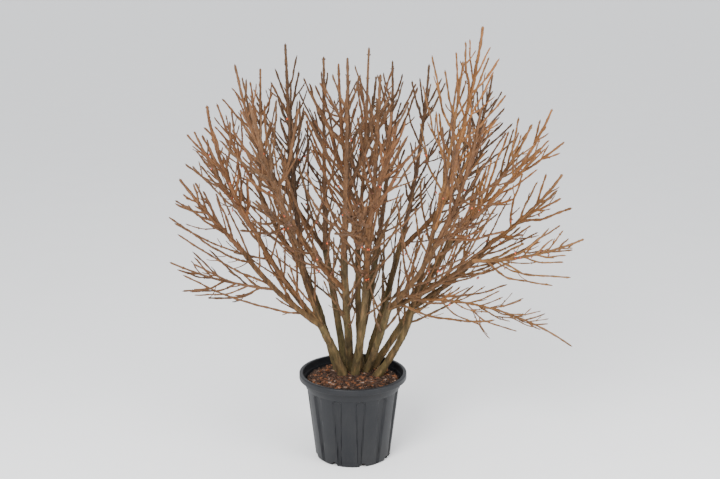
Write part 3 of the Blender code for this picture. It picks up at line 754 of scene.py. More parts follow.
def grow_twigs(branch, wood, leaders):
    """Opposite pairs of twigs along a mass's stem, kept to the space of that stem."""
    name = branch.row.name
    twigs = []
    count = int((branch.length * LAST_NODE_SHARE - branch.begins - FIRST_NODE) / NODE_SPACING) + 1
    vigour = min(1.0, branch.row.thick / VIGOROUS_STEM) ** 2
    turn = random.Random(name).uniform(0, 360)
    for index in range(count):
        at = branch.begins + FIRST_NODE + index * NODE_SPACING
        share = at / branch.length
        root, along = point_along(branch.path, at)
        turn += PAIR_TURN
        for side in (0, 1):
            rng = random.Random(f"{name}:{index}:{side}")
            spread = rng.uniform(-1, 1)
            length = TWIG_LENGTH_FOOT + (TWIG_LENGTH_TIP - TWIG_LENGTH_FOOT) * share
            length *= rng.uniform(TWIG_LENGTH_LEAST, 1.0) * vigour
            angle = TWIG_ANGLE_FOOT + (TWIG_ANGLE_TIP - TWIG_ANGLE_FOOT) * share
            angle += TWIG_ANGLE_SPREAD * rng.uniform(-1, 1)
            aim = turn + 180 * side + PAIR_TURN_SPREAD * spread
            radius = min(TWIG_RADIUS, branch.radius_at(at) * TWIG_RADIUS_SHARE)
            for shrink in SHRINKS:
                path = twig_path(root, along, math.radians(aim), math.radians(angle), length * shrink)
                if twig_fits(path, radius, name, wood, leaders):
                    twigs.append((path, radius))
                    wood.add(f"{name}:{index}:{side}", path, (radius, radius))
                    break
    return twigs


@lru_cache(maxsize=1)
def planned_bush():
    """All limbs, and the main twigs of each mass."""
    branches, wood = plan_limbs()
    leaders = leader_reaches(branches)
    return branches, {row.name: grow_twigs(branches[row.name], wood, leaders) for row in MASSES}


# Winged wood

def lengths_of(line):
    steps = np.linalg.norm(np.diff(line, axis=0), axis=1)
    return np.concatenate([[0.0], np.cumsum(steps)])


def as_line(path):
    return np.array([tuple(point) for point in path])


def resampled(line, step):
    lengths = lengths_of(line)
    at = np.linspace(0, lengths[-1], max(4, int(lengths[-1] / step) + 1))
    return np.stack([np.interp(at, lengths, line[:, axis]) for axis in range(3)], axis=1)


def smooth_random(rng, count, knots, columns=1):
    """Smooth random values between -1 and 1 along a line, one column for each thread."""
    values = rng.uniform(-1, 1, (knots + 2, columns))
    at = np.linspace(0, knots, count)
    base = at.astype(int)
    blend = (at - base)[:, None]
    blend = blend * blend * (3 - 2 * blend)
    return values[base] * (1 - blend) + values[base + 1] * blend


def cross_frame(line):
    """Unit vectors along a line and across it, with little twist."""
    along = np.gradient(line, axis=0)
    along /= np.linalg.norm(along, axis=1, keepdims=True)
    chord = line[-1] - line[0]
    level = np.eye(3)[np.abs(chord).argmin()]
    side = np.cross(chord, level)
    side = side - (along @ side)[:, None] * along
    side /= np.linalg.norm(side, axis=1, keepdims=True)
    return along, side, np.cross(along, side)


def wandering(line, amount, rng, knot_length):
    """The line with small natural bends, its ends kept in place."""
    side, up = cross_frame(line)[1:]
    knots = max(2, int(lengths_of(line)[-1] / knot_length))
    offset = smooth_random(rng, len(line), knots, 2) * amount
    offset *= np.sin(np.linspace(0, math.pi, len(line)))[:, None] ** 0.5
    return line + side * offset[:, :1] + up * offset[:, 1:]


def winged_tube(bundle, line, radii, wood, tint, rng):
    """Wood with a furrowed core and four ragged cork wings, pinched in at each node."""
    rings = len(line)
    along, side, up = cross_frame(line)
    lengths = lengths_of(line)
    turns = 2 * math.pi * np.arange(wood.sides) / wood.sides
    crest = ((1 + np.cos(WINGS * turns)) / 2) ** 2
    node_share = ((lengths / wood.internode + rng.random()) % 1.0)[:, None]
    lens = np.sin(math.pi * node_share) ** WING_LENS_POWER
    ragged = rng.uniform(*WING_RAGGED, (rings, WINGS))
    nearest_wing = np.round(turns / (2 * math.pi) * WINGS).astype(int) % WINGS
    wing = wood.wing_share * lens * ragged[:, nearest_wing] * crest
    knots = max(2, int(lengths[-1] / wood.internode * 2))
    furrow = 1 + wood.furrow * smooth_random(rng, rings, knots, wood.sides)
    reach = radii[:, None] * (wood.core_share * furrow + wing)
    angle = turns + rng.uniform(0, math.pi / 2)
    spokes = np.cos(angle)[:, None] * side[:, None, :] + np.sin(angle)[:, None] * up[:, None, :]
    layers = line[:, None, :] + reach[..., None] * spokes
    tip = line[-1] + along[-1] * radii[-1] * TIP_ROUNDING
    points, quads, fans = closed_rings(layers, line[0], tip)
    cork = np.append((lens * crest[None, :]).ravel(), [0.0, 0.0])
    bundle.add(points, quads, fans, tint, cork)


def varied(colour, rng, spread):
    """A colour a little lighter or darker, and a little redder or greener."""
    light = 1 + spread * rng.uniform(-1, 1)
    hue = HUE_SPREAD * rng.uniform(-1, 1)
    return np.array(colour) * light * np.array([1 + hue, 1.0, 1 - hue])


def limb_line(branch, step, sink=0.0):
    line = as_line(bowed_path(branch.path[0], branch.path[-1], branch.row.bow, step))
    line[0, 2] -= sink
    return line


def limb_radii(branch, line, flare=False):
    at = lengths_of(line)
    radii = branch.row.thick + (branch.row.thin - branch.row.thick) * np.minimum(at / branch.length, 1)
    if flare:
        share = np.maximum(0.0, 1 - at / ROOT_FLARE_HEIGHT)
        radii = radii * (1 + (ROOT_FLARE - 1) * share * share)
    return radii


def grow_limbs(rows, branches, wood, colour, rng, flare=False):
    """One bundle of winged limbs."""
    bundle = Bundle()
    for row in rows:
        branch = branches[row.name]
        line = limb_line(branch, wood.step, STEM_SINK if flare else 0.0)
        line = wandering(line, row.thin * wood.wander, rng, wood.internode)
        radii = limb_radii(branch, line, flare)
        winged_tube(bundle, line, radii, wood, varied(colour, rng, LIMB_TINT_SPREAD), rng)
    return bundle


# Side twigs and buds

class Crown:
    """The bundles of twigs of each side of the crown, with the places of buds and fruit."""

    def __init__(self, rng):
        self.rng = rng
        self.twigs = {group: Bundle() for group in set(GROUPS.values())}
        self.side_twigs = {group: Bundle() for group in set(GROUPS.values())}
        self.buds = []
        self.nodes = []


def group_of(name):
    return GROUPS[name.split("_")[0]]


def place_on(line, lengths, at):
    index = min(int(np.searchsorted(lengths, at)), len(line) - 1)
    index = max(index, 1)
    step = line[index] - line[index - 1]
    share = (at - lengths[index - 1]) / (lengths[index] - lengths[index - 1])
    return line[index - 1] + step * share, step / np.linalg.norm(step)


def frame_across(heading):
    """Two unit vectors across a heading, the first of them level unless it runs nearly upright."""
    level = abs(heading[2]) < UPRIGHT
    side = np.cross(heading, (0.0, 0.0, 1.0) if level else (1.0, 0.0, 0.0))
    side /= np.linalg.norm(side)
    return side, np.cross(heading, side)


def leaving_direction(along, aim, angle):
    side, down = frame_across(along)
    across = side * math.cos(aim) - down * math.sin(aim)
    return along * math.cos(angle) + across * math.sin(angle)


def side_twig_line(root, leaving, length, order, rng):
    """A side twig that turns steadily from the way it leaves towards the light."""
    count = max(4, int(length / order.wood.step) + 1)
    light = root - np.array(CROWN_FOOT)
    light /= np.linalg.norm(light)
    share = np.linspace(0, 1, count - 1)[:, None]
    heading = leaving + light * order.lift * share
    knots = max(2, int(length / order.wood.internode))
    heading += HEADING_SPREAD * smooth_random(rng, count - 1, knots, 3)
    heading /= np.linalg.norm(heading, axis=1, keepdims=True)
    steps = np.vstack([np.zeros(3), heading * length / (count - 1)])
    return root + np.cumsum(steps, axis=0)


def within_reach(line):
    low = np.array(CAD_LOW) + BOX_MARGIN
    high = np.array(CAD_HIGH) - BOX_MARGIN
    return (line > low).all() and (line < high).all() and line[:, 2].min() > TWIG_FLOOR


def end_bud(line, tint):
    heading = line[-1] - line[-2]
    return line[-1], heading / np.linalg.norm(heading), tint


def add_side_twigs(crown, group, line, radius, order, tint):
    """Opposite pairs of finer twigs, or of buds, at the nodes of a carrier."""
    rng = crown.rng
    lengths = lengths_of(line)
    whole = lengths[-1]
    turn = rng.uniform(0, 2 * math.pi)
    at = order.first
    while at < whole - BUD_LENGTH:
        root, along = place_on(line, lengths, at)
        turn += math.pi / 2 + rng.normal(0, SIDE_TURN_SPREAD)
        carrier = radius * (1 - (1 - TWIG_END_SHARE) * at / whole)
        crown.nodes.append((root, at / whole))
        for side in (0, 1):
            aim = turn + math.pi * side + rng.normal(0, SIDE_AIM_SPREAD)
            angle = math.radians(order.angle + rng.uniform(-SIDE_ANGLE_SPREAD, SIDE_ANGLE_SPREAD))
            length = min(order.longest, SIDE_GROWTH_BASE + (whole - at) * order.growth)
            length *= rng.uniform(order.least, 1.0)
            leaving = leaving_direction(along, aim, angle)
            wanted = at < whole * order.last and rng.random() < order.chance
            if wanted and add_side_twig(crown, group, root, leaving, length, carrier, order, tint):
                continue
            outward = leaving_direction(along, aim, math.pi / 2)
            heading = leaving_direction(along, aim, BUD_ANGLE)
            crown.buds.append((root + outward * carrier * BUD_SEAT, heading, tint))
        at += order.spacing * rng.uniform(*SIDE_SPACINGS)
    crown.buds.append(end_bud(line, tint))


def add_side_twig(crown, group, root, leaving, length, carrier, order, tint):
    """One side twig with what grows on it, unless it would leave the plant's space."""
    rng = crown.rng
    line = side_twig_line(root, leaving, length, order, rng)
    if not within_reach(line):
        return False
    foot = min(order.radius, carrier * STOUTEST_SIDE_TWIG) * rng.uniform(*SIDE_RADII)
    radii = np.linspace(foot, foot * SIDE_TWIG_END_SHARE, len(line))
    tint = tint * rng.uniform(*SIDE_TINTS)
    winged_tube(crown.side_twigs[group], line, radii, order.wood, tint, rng)
    if order is not ON_SIDE_TWIG and length > LEAST_CARRIER:
        add_side_twigs(crown, group, line, foot, ON_SIDE_TWIG, tint)
    elif order is not ON_SIDE_TWIG:
        crown.buds.append(end_bud(line, tint))
    return True


def smoothed(line, passes):
    for _ in range(passes):
        line[1:-1] = (line[:-2] + 2 * line[1:-1] + line[2:]) / 4
    return line


def add_main_twig(crown, group, path, radius, tint):
    rng = crown.rng
    line = smoothed(resampled(as_line(path), TWIG_WOOD.step), BEND_PASSES)
    line = wandering(line, radius * TWIG_WOOD.wander, rng, TWIG_WOOD.internode)
    radii = np.linspace(radius, radius * TWIG_END_SHARE, len(line))
    winged_tube(crown.twigs[group], line, radii, TWIG_WOOD, tint, rng)
    add_side_twigs(crown, group, line, radius, ON_TWIG, tint)


BUD_SHOULDER = 0.35
BUD_SHAPE = np.array([
    (0, 0, 0),
    (1, 0, BUD_SHOULDER), (0, 1, BUD_SHOULDER), (-1, 0, BUD_SHOULDER), (0, -1, BUD_SHOULDER),
    (0, 0, 1),
])
BUD_FACES = np.array([
    (0, 2, 1), (0, 3, 2), (0, 4, 3), (0, 1, 4),
    (5, 1, 2), (5, 2, 3), (5, 3, 4), (5, 4, 1),
])


def add_buds(bundle, buds, rng):
    for root, heading, tint in buds:
        side, up = frame_across(heading)
        scale = rng.uniform(*BUD_SCALES)
        frame_rows = np.array([side * BUD_WIDTH, up * BUD_WIDTH, heading * BUD_LENGTH]) * scale
        bundle.add(root + BUD_SHAPE @ frame_rows, NO_QUADS, BUD_FACES, tint * BUD_TINT)


# Settings

def colour_setting(name, description, default):
    return FloatVectorProperty(
        name=name, description=description, subtype="COLOR", default=default, min=0.0, max=1.0,
    )


def amount_setting(name, description, default, low, high, unit="NONE"):
    return FloatProperty(
        name=name, description=description, unit=unit, default=default, min=low, max=high,
    )


def count_setting(name, description, default, low, high):
    return IntProperty(name=name, description=description, default=default, min=low, max=high)


class PotSettings(PropertyGroup):
    colour: colour_setting("Plastic colour", "Colour of the pot's plastic", (0.0045, 0.0052, 0.0070))
    dust: colour_setting("Dust colour", "Colour of dried splashes on the plastic", (0.034, 0.033, 0.032))
    wall: amount_setting("Wall", "Thickness of the pot's wall", 0.0035, 0.001, 0.01, "LENGTH")


class BedSettings(PropertyGroup):
    chips: count_setting("Chips", "Number of bark chips on the bed", 2600, 1, 6000)
    chip_length: amount_setting(
        "Chip length", "Length of the largest chips", 0.024, 0.005, 0.05, "LENGTH",
    )
    dark: colour_setting("Dark bark", "Colour of the damp chips", (0.030, 0.016, 0.010))
    warm: colour_setting("Warm bark", "Colour of the dry orange chips", (0.200, 0.075, 0.030))


class WoodSettings(PropertyGroup):
    stem: colour_setting("Stem bark", "Colour of the oldest bark", (0.080, 0.052, 0.024))
    bough: colour_setting("Bough bark", "Colour of the bark of the boughs", (0.088, 0.042, 0.016))
    cork: colour_setting("Cork", "Colour of the edges of the cork wings", (0.180, 0.088, 0.036))
    moss: colour_setting("Moss", "Colour of the green film low on the stems", (0.070, 0.060, 0.019))


class CrownSettings(PropertyGroup):
    # The four spray colours are bark colour with painted light and shade: the right side, where the light
    # falls, is painted lighter and the back, in the crown's own shade, darker.
    left: colour_setting("Left sprays", "Bark of the sprays on the left, with painted light and shade", (0.120, 0.051, 0.019))
    front: colour_setting("Front sprays", "Bark of the sprays in front, with painted light and shade", (0.100, 0.043, 0.016))
    right: colour_setting("Right sprays", "Bark of the sprays on the right, lightened as painted light", (0.160, 0.070, 0.021))
    back: colour_setting("Back sprays", "Bark of the sprays at the back, darkened as painted shade", (0.060, 0.029, 0.012))
    seed: count_setting("Seed", "Seed of the side twigs", 11, 0, 9999)


class FruitSettings(PropertyGroup):
    count: count_setting("Fruits", "Number of fruits left on the twigs", 420, 1, 2000)
    aril: colour_setting("Seed coat", "Colour of the seed coats", (0.560, 0.085, 0.020))
    husk: colour_setting("Husk", "Colour of the dry husks", (0.130, 0.050, 0.030))


class StageSettings(PropertyGroup):
    floor: colour_setting("Floor colour", "Colour of the floor", (0.97, 0.97, 0.97))
    key_power: amount_setting(
        "Key light", "Power of the large front light", 330.0, 0.0, 2000.0, "POWER",
    )
    fill_power: amount_setting(
        "Fill light", "Power of the light on the other side", 110.0, 0.0, 2000.0, "POWER",
    )
    sky: amount_setting("Room light", "Strength of the even light all round", 1.30, 0.0, 5.0)


# Pot

def flute_share(height, turn):
    """How deep the flute is cut at a turn from its middle: 1 on its floor, 0 on the land."""
    width = FLUTE_FOOT_WIDTH + (FLUTE_TOP_WIDTH - FLUTE_FOOT_WIDTH) * height / BODY_TOP
    edge = width / pot_radius(height) / 2
    x = np.abs(turn) / edge
    side = np.clip((1 - x) / (1 - FLUTE_FLOOR_SHARE), 0, 1)
    arch = np.clip((BODY_TOP - FLUTE_ARCH * np.minimum(x, 1) ** 2 - height) / FLUTE_END, 0, 1)
    foot = np.clip(height / BASE_CHAMFER, 0, 1)
    return side * side * (3 - 2 * side) * arch * foot


def pot_radius(height):
    """Outer radius of the fluted body between its flutes."""
    return BASE_RADIUS + (BODY_TOP_RADIUS - BASE_RADIUS) * height / BODY_TOP


def rounded(centre_radius, centre_height, radius, start, end):
    """Points on a quarter turn, as (radius, height)."""
    turns = np.linspace(math.radians(start), math.radians(end), ROUND_STEPS)
    return [(centre_radius + radius * math.cos(t), centre_height + radius * math.sin(t)) for t in turns]


def inside_profile(gap, lift=0.0):
    """Down the pot's inside as (radius, height), a gap in from its collar and from its flutes."""
    arch_foot = BODY_TOP - FLUTE_ARCH
    return [
        (COLLAR_RADIUS - gap, BAND_HEIGHT),
        (pot_radius(arch_foot) - FLUTE_DEPTH - gap, arch_foot),
        (pot_radius(POT_FLOOR) - FLUTE_DEPTH - gap, POT_FLOOR + lift),
    ]


def pot_profile(wall):
    """Rings above the fluted body: collar, rolled lip and the inside down to the floor."""
    lip_foot = POT_HEIGHT - LIP_DEPTH
    half = LIP_ROUNDING / 2
    lip = (
        rounded(LIP_RADIUS - half, lip_foot + half, half, -90, 0)
        + rounded(LIP_RADIUS - LIP_ROUNDING, POT_HEIGHT - LIP_ROUNDING, LIP_ROUNDING, 0, 90)
        + rounded(LIP_MOUTH_RADIUS + LIP_ROUNDING, POT_HEIGHT - LIP_ROUNDING, LIP_ROUNDING, 90, 180)
    )
    collar = [
        (BODY_TOP_RADIUS + BAND_STEP * BAND_EASE, BODY_TOP + STEP_EASE),
        (BODY_TOP_RADIUS + BAND_STEP, BODY_TOP + BAND_EDGE),
        (COLLAR_RADIUS, BAND_HEIGHT),
        (COLLAR_RADIUS + COLLAR_EASE, BAND_HEIGHT + COLLAR_SWELL),
        (COLLAR_RADIUS + COLLAR_SWELL, lip_foot - LIP_ROUNDING),
        (COLLAR_RADIUS + 2 * COLLAR_SWELL, lip_foot - STEP_EASE),
    ]
    mouth = (LIP_MOUTH_RADIUS - MOUTH_TAPER, SOIL_TOP + MOUTH_DEPTH)
    return [*collar, *lip, mouth, *inside_profile(wall)]


def make_pot_mesh(settings):
    bundle = Bundle()
    columns = FLUTES * FLUTE_COLUMNS
    pitch = 2 * math.pi / FLUTES
    turns = np.arange(columns) * 2 * math.pi / columns
    from_middle = (turns + pitch / 2) % pitch - pitch / 2
    rings = [(BASE_RADIUS - BASE_CHAMFER, 0.0, np.zeros(columns))]
    arch_foot = BODY_TOP - FLUTE_ARCH
    heights = np.concatenate([
        [BASE_CHAMFER],
        np.linspace(FIRST_BODY_RING, arch_foot - ARCH_LEAD, BODY_RINGS // 2),
        np.linspace(arch_foot - FLUTE_END, BODY_TOP, BODY_RINGS // 2),
    ])
    for height in heights:
        rings.append((pot_radius(height), height, flute_share(height, from_middle) * FLUTE_DEPTH))
    rings += [(radius, height, np.zeros(columns)) for radius, height in pot_profile(settings.wall)]
    angle = turns + FLUTE_TURN
    layers = [level_ring(radius - depth, angle, height) for radius, height, depth in rings]
    bundle.add(*closed_rings(layers, (0, 0, 0), (0, 0, POT_FLOOR)), settings.colour)
    return bundle


def cut_notches(pot):
    """Eight arched drainage notches through the foot of the wall."""
    for index in range(NOTCHES):
        bpy.ops.mesh.primitive_cylinder_add(
            vertices=NOTCH_CUTTER_SIDES, radius=NOTCH_WIDTH / 2, depth=NOTCH_CUTTER_DEPTH,
        )
        cutter = bpy.context.object
        angle = NOTCH_TURN + index * 2 * math.pi / NOTCHES
        reach = BASE_RADIUS - FLUTE_DEPTH / 2
        cutter.location = (reach * math.cos(angle), reach * math.sin(angle), 0.0)
        cutter.rotation_euler = (math.pi / 2, 0.0, angle + math.pi / 2)
        cutter.scale = (1.0, NOTCH_HEIGHT / (NOTCH_WIDTH / 2), 1.0)
        cut = pot.modifiers.new("notch", "BOOLEAN")
        cut.operation = "DIFFERENCE"
        cut.solver = "EXACT"
        cut.object = cutter
        apply_modifier(pot, cut)
        bpy.data.objects.remove(cutter, do_unlink=True)


def pot_plastic(settings):
    paint = Paint("pot_plastic")
    cloud = paint.span(paint.noise(9.0, 6.0), 0.42, 0.72)
    specks = paint.span(paint.noise(260.0, 2.0), 0.60, 0.74)
    low = 1 - paint.span(paint.height(), 0.0, 0.10)
    dust = paint.span(cloud * 0.30 + specks * 0.35 + low * cloud * 0.5, 0.0, 1.0, 0.0, 0.6)
    colour = paint.mix(dust, rgba(settings.colour), rgba(settings.dust))
    roughness = 0.42 + dust * 0.35 + paint.noise(60.0) * 0.08
    return paint.finish(colour, roughness, paint.noise(420.0, 2.0), 0.12, 0.0006, specular=0.32)


class BUSH_OT_pot(Operator):
    """Build the fluted nursery pot with its rolled lip and drainage notches"""

    bl_idname = "bush.pot"
    bl_label = "Nursery pot"

    def execute(self, context):
        settings = context.scene.bush_pot
        pot = make_pot_mesh(settings).build("nursery_pot", pot_plastic(settings))
        cut_notches(pot)
        deselect_all()
        context.view_layer.objects.active = pot
        pot.select_set(True)
        bpy.ops.object.shade_smooth_by_angle(angle=SMOOTH_ANGLE)
        dress(pot, ["pot"])
        return {"FINISHED"}


# Potting bark

def make_bed(settings):
    """The damp bed under the chips, a closed body that fills the pot."""
    rng = np.random.default_rng(BED_SEED)
    bundle = Bundle()
    turns = np.arange(BED_COLUMNS) * 2 * math.pi / BED_COLUMNS
    shares = np.linspace(1, BED_LAST_RING, BED_RINGS)
    tops = [(BED_RADIUS * share, SOIL_TOP - BED_DROP) for share in shares]
    layers = []
    for radius, height in [*reversed(inside_profile(BED_WALL_GAP, GAP)), *tops]:
        lumps = rng.uniform(-BED_LUMPS, BED_LUMPS, BED_COLUMNS) if height > BAND_HEIGHT else 0.0
        layers.append(level_ring(radius, turns, height + lumps))
    foot, top = (0, 0, POT_FLOOR + GAP), (0, 0, SOIL_TOP - BED_DROP)
    bundle.add(*closed_rings(layers, foot, top), settings.dark)
    return bundle


CHIP_CORNERS = np.array([(x, y, z) for z in (-1, 1) for y in (-1, 1) for x in (-1, 1)], float)
CHIP_FACES = np.array([(0, 2, 3, 1), (4, 5, 7, 6), (0, 1, 5, 4), (2, 6, 7, 3), (0, 4, 6, 2), (1, 3, 7, 5)])


def make_chips(settings):
    """Flat ragged chips of bark scattered over the bed at all turns."""
    rng = np.random.default_rng(CHIP_SEED)
    bundle = Bundle()
    dark, warm = np.array(settings.dark), np.array(settings.warm)
    for _ in range(settings.chips):
        size = settings.chip_length / 2 * rng.uniform(*CHIP_SIZES) ** CHIP_SIZE_POWER
        width = size * rng.uniform(*CHIP_WIDTHS)
        half = np.array([size, width, size * rng.uniform(*CHIP_THICKNESSES) + CHIP_LEAST_THICKNESS])
        corners = CHIP_CORNERS * half * rng.uniform(*CHIP_CORNER_SHARES, CHIP_CORNERS.shape)
        turn = rng.uniform(0, 2 * math.pi)
        tilt, roll = rng.normal(0, CHIP_TILT, 2)
        facing = Quaternion((0, 0, 1), turn) @ Quaternion((0, 1, 0), tilt) @ Quaternion((1, 0, 0), roll)
        corners = corners @ np.array(facing.to_matrix()).T
        reach = (BED_RADIUS - size - CHIP_EDGE_GAP) * math.sqrt(rng.random())
        aim = rng.uniform(0, 2 * math.pi)
        mound = CHIP_MOUND * (1 - (reach / BED_RADIUS) ** 2)
        height = SOIL_TOP - CHIP_SEAT + mound + rng.uniform(*CHIP_HEIGHTS)
        place = np.array([reach * math.cos(aim), reach * math.sin(aim), height])
        kind = rng.random()
        tint = dark * rng.uniform(*CHIP_TINTS)
        if kind > WARM_CHIPS_FROM:
            tint = dark + (warm - dark) * rng.uniform(*WARM_SHARES)
        if kind > PALE_CHIPS_FROM:
            tint = PALE_CHIP * rng.uniform(*PALE_TINTS)
        bundle.add(corners + place, CHIP_FACES, NO_TRIANGLES, tint)
    return bundle


def bark_chip_finish():
    paint = Paint("potting_bark")
    grain = paint.noise(180.0, 5.0)
    tint = paint.attribute("tint", "Color")
    colour = paint.shade(tint, paint.span(grain, 0.3, 0.7, 0.55, 1.35))
    return paint.finish(colour, 0.95 - grain * 0.15, grain, 0.6, 0.0015, specular=0.25)


class BUSH_OT_potting_bark(Operator):
    """Lay the damp bed and the loose bark chips in the pot"""

    bl_idname = "bush.potting_bark"
    bl_label = "Potting bark"

    def execute(self, context):
        settings = context.scene.bush_bed
        finish = bark_chip_finish()
        dress(make_bed(settings).build("potting_bark_bed", finish), ["soil"])
        dress(make_chips(settings).build("bark_chips", finish, smooth=False))
        return {"FINISHED"}


# Old wood

def old_bark(name, settings, mossy):
    """Fissured bark: dark furrows, paler cork ridges and a green film low down."""
    paint = Paint(name)
    tint = paint.attribute("tint", "Color")
    cork = paint.attribute("cork", "Fac")
    streaks = paint.noise(75.0, 6.0, (1.0, 1.0, 0.22))
    grain = paint.noise(420.0, 4.0, (1.0, 1.0, 0.5))
    patches = paint.noise(11.0, 4.0)
    ridges = paint.span(cork * 0.7 + (streaks - 0.5) * 1.2, 0.15, 0.85)
    colour = paint.mix(ridges * 0.55, tint, rgba(settings.cork))
    moss = 1 - paint.span(paint.height(), 0.36, 0.95 if mossy else 0.75)
    moss = moss * paint.span(patches, 0.30, 0.62) * 0.6
    colour = paint.mix(moss, colour, rgba(settings.moss))
    furrows = paint.span(streaks, 0.30, 0.62, 0.40, 1.12)
    colour = paint.shade(paint.shade(colour, furrows), paint.span(grain, 0.3, 0.7, 0.82, 1.15))
    relief = streaks * 0.8 + grain * 0.35
    return paint.finish(colour, 0.88 - ridges * 0.08, relief, 0.75, 0.003, specular=0.25)


class BUSH_OT_old_wood(Operator):
    """Grow the stems and the boughs with furrowed bark and cork ridges"""

    bl_idname = "bush.old_wood"
    bl_label = "Stems and boughs"

    def execute(self, context):
        settings = context.scene.bush_wood
        branches = planned_bush()[0]
        rng = np.random.default_rng(OLD_WOOD_SEED)
        stems = grow_limbs(STEMS, branches, STEM_WOOD, settings.stem, rng, flare=True)
        boughs = grow_limbs(BOUGHS, branches, BOUGH_WOOD, settings.bough, rng)
        stem_piece = stems.build("winged_stems", old_bark("stem_bark", settings, True))
        bough_piece = boughs.build("winged_boughs", old_bark("bough_bark", settings, False))
        dress(stem_piece, [row.name for row in STEMS])
        dress(bough_piece, [row.name for row in BOUGHS])
        return {"FINISHED"}


# Crown

def young_bark(name, settings, cork_share):
    """Smooth young bark in the spray's colour, which carries painted light and shade for its side of the
    crown, with paler cork along the wings.
    """
    paint = Paint(name)
    tint = paint.attribute("tint", "Color")
    cork = paint.attribute("cork", "Fac")
    streaks = paint.noise(160.0, 4.0, (1.0, 1.0, 0.5))
    patches = paint.noise(16.0, 3.0)
    edge = cork * paint.span(streaks, 0.25, 0.65) * cork_share
    colour = paint.mix(edge, tint, rgba(settings.cork))
    colour = paint.shade(colour, paint.span(patches, 0.30, 0.70, 0.70, 1.25))
    colour = paint.shade(colour, paint.span(streaks, 0.30, 0.70, 0.75, 1.15))
    return paint.finish(colour, 0.78 - streaks * 0.12, streaks, 0.45, 0.0012, specular=0.3)


# The bark colour of a limb's side of the crown, lightened or darkened there as painted light and shade.
def spray_colour_with_painted_light(name, settings):
    return np.array(getattr(settings, group_of(name)))


@lru_cache(maxsize=1)
def grown_crown():
    """The leaders' bundle, and the crown with its twigs, side twigs, buds and nodes."""
    branches, twigs = planned_bush()
    settings = bpy.context.scene.bush_crown
    wood_settings = bpy.context.scene.bush_wood
    rng = np.random.default_rng(settings.seed)
    crown = Crown(rng)
    leaders = Bundle()
    for row in MASSES:
        group = group_of(row.name)
        # The spray colour carries the painted light and shade of this side of the crown.
        tint = varied(spray_colour_with_painted_light(row.name, settings), rng, LIMB_TINT_SPREAD)
        branch = branches[row.name]
        line = limb_line(branch, LEADER_WOOD.step)
        line = wandering(line, row.thin * LEADER_WOOD.wander, rng, LEADER_WOOD.internode)
        winged_tube(leaders, line, limb_radii(branch, line), LEADER_WOOD, tint, rng)
        add_side_twigs(crown, group, line, row.thick, ON_LEADER, tint)
        for path, radius in twigs[row.name]:
            add_main_twig(crown, group, path, radius, varied(tint, rng, TWIG_TINT_SPREAD))
    old_wood = ((STEMS, ON_STEM, wood_settings.stem), (BOUGHS, ON_BOUGH, wood_settings.bough))
    for rows, order, colour in old_wood:
        for row in rows:
            line = limb_line(branches[row.name], BOUGH_WOOD.step)
            # Side twigs on old wood take half the painted light and shade of their side's spray colour.
            tint = (np.array(colour) + spray_colour_with_painted_light(row.name, settings)) / 2
            add_side_twigs(crown, group_of(row.name), line, row.thin, order, tint)
    return leaders, crown


class BUSH_OT_crown(Operator):
    """Grow the leaders, twigs, side twigs and buds of the crown"""

    bl_idname = "bush.crown"
    bl_label = "Crown of twigs"

    def execute(self, context):
        leaders, crown = grown_crown()
        settings = context.scene.bush_wood
        leader_bark = young_bark("leader_bark", settings, 0.75)
        twig_bark = young_bark("twig_bark", settings, 0.60)
        bud_scales = young_bark("bud_scales", settings, 0.0)
        names = [row.name for row in MASSES]
        dress(leaders.build("winged_leaders", leader_bark), names)
        for group in sorted(crown.twigs):
            dress(crown.twigs[group].build(f"twigs_{group}", twig_bark, False))
            dress(crown.side_twigs[group].build(f"side_twigs_{group}", twig_bark, False))
        buds = Bundle()
        add_buds(buds, crown.buds, np.random.default_rng(BUD_SEED))
        dress(buds.build("buds", bud_scales))
        return {"FINISHED"}


# Fruit

FRUIT_ZONE = (0.72, 1.34)
FRUIT_STALK = 0.012
ARIL_RADIUS = 0.0034
HUSK_RADIUS = 0.0042
HUSK_SHAPE = np.array([1.0, 1.0, 0.72])
ARIL_SHAPE = np.array([1.0, 1.0, 1.25])
ARIL_DROP = -0.0045
ARIL_ASIDE = 0.003
ARIL_SHARE = 0.45
STALK_RADIUS = 0.0006
STALK_LEAN = 0.7
STALK_LENGTHS = (0.8, 1.5)
HUSK_SIZES = (0.75, 1.1)
ARIL_SIZES = (0.8, 1.15)
HUSK_TINT_SPREAD = 0.4
ARIL_TINT_SPREAD = 0.3
FRUIT_SEED = 41
FRUIT_NODE_SHARE = 0.8


def ball_template():
    """A small ball of twenty faces, as points and triangles."""
    bpy.ops.mesh.primitive_ico_sphere_add(subdivisions=1, radius=1.0)
    ball = bpy.context.object
    points = np.array([tuple(v.co) for v in ball.data.vertices])
    faces = np.array([tuple(f.vertices) for f in ball.data.polygons])
    bpy.data.objects.remove(ball, do_unlink=True)
    return points, faces


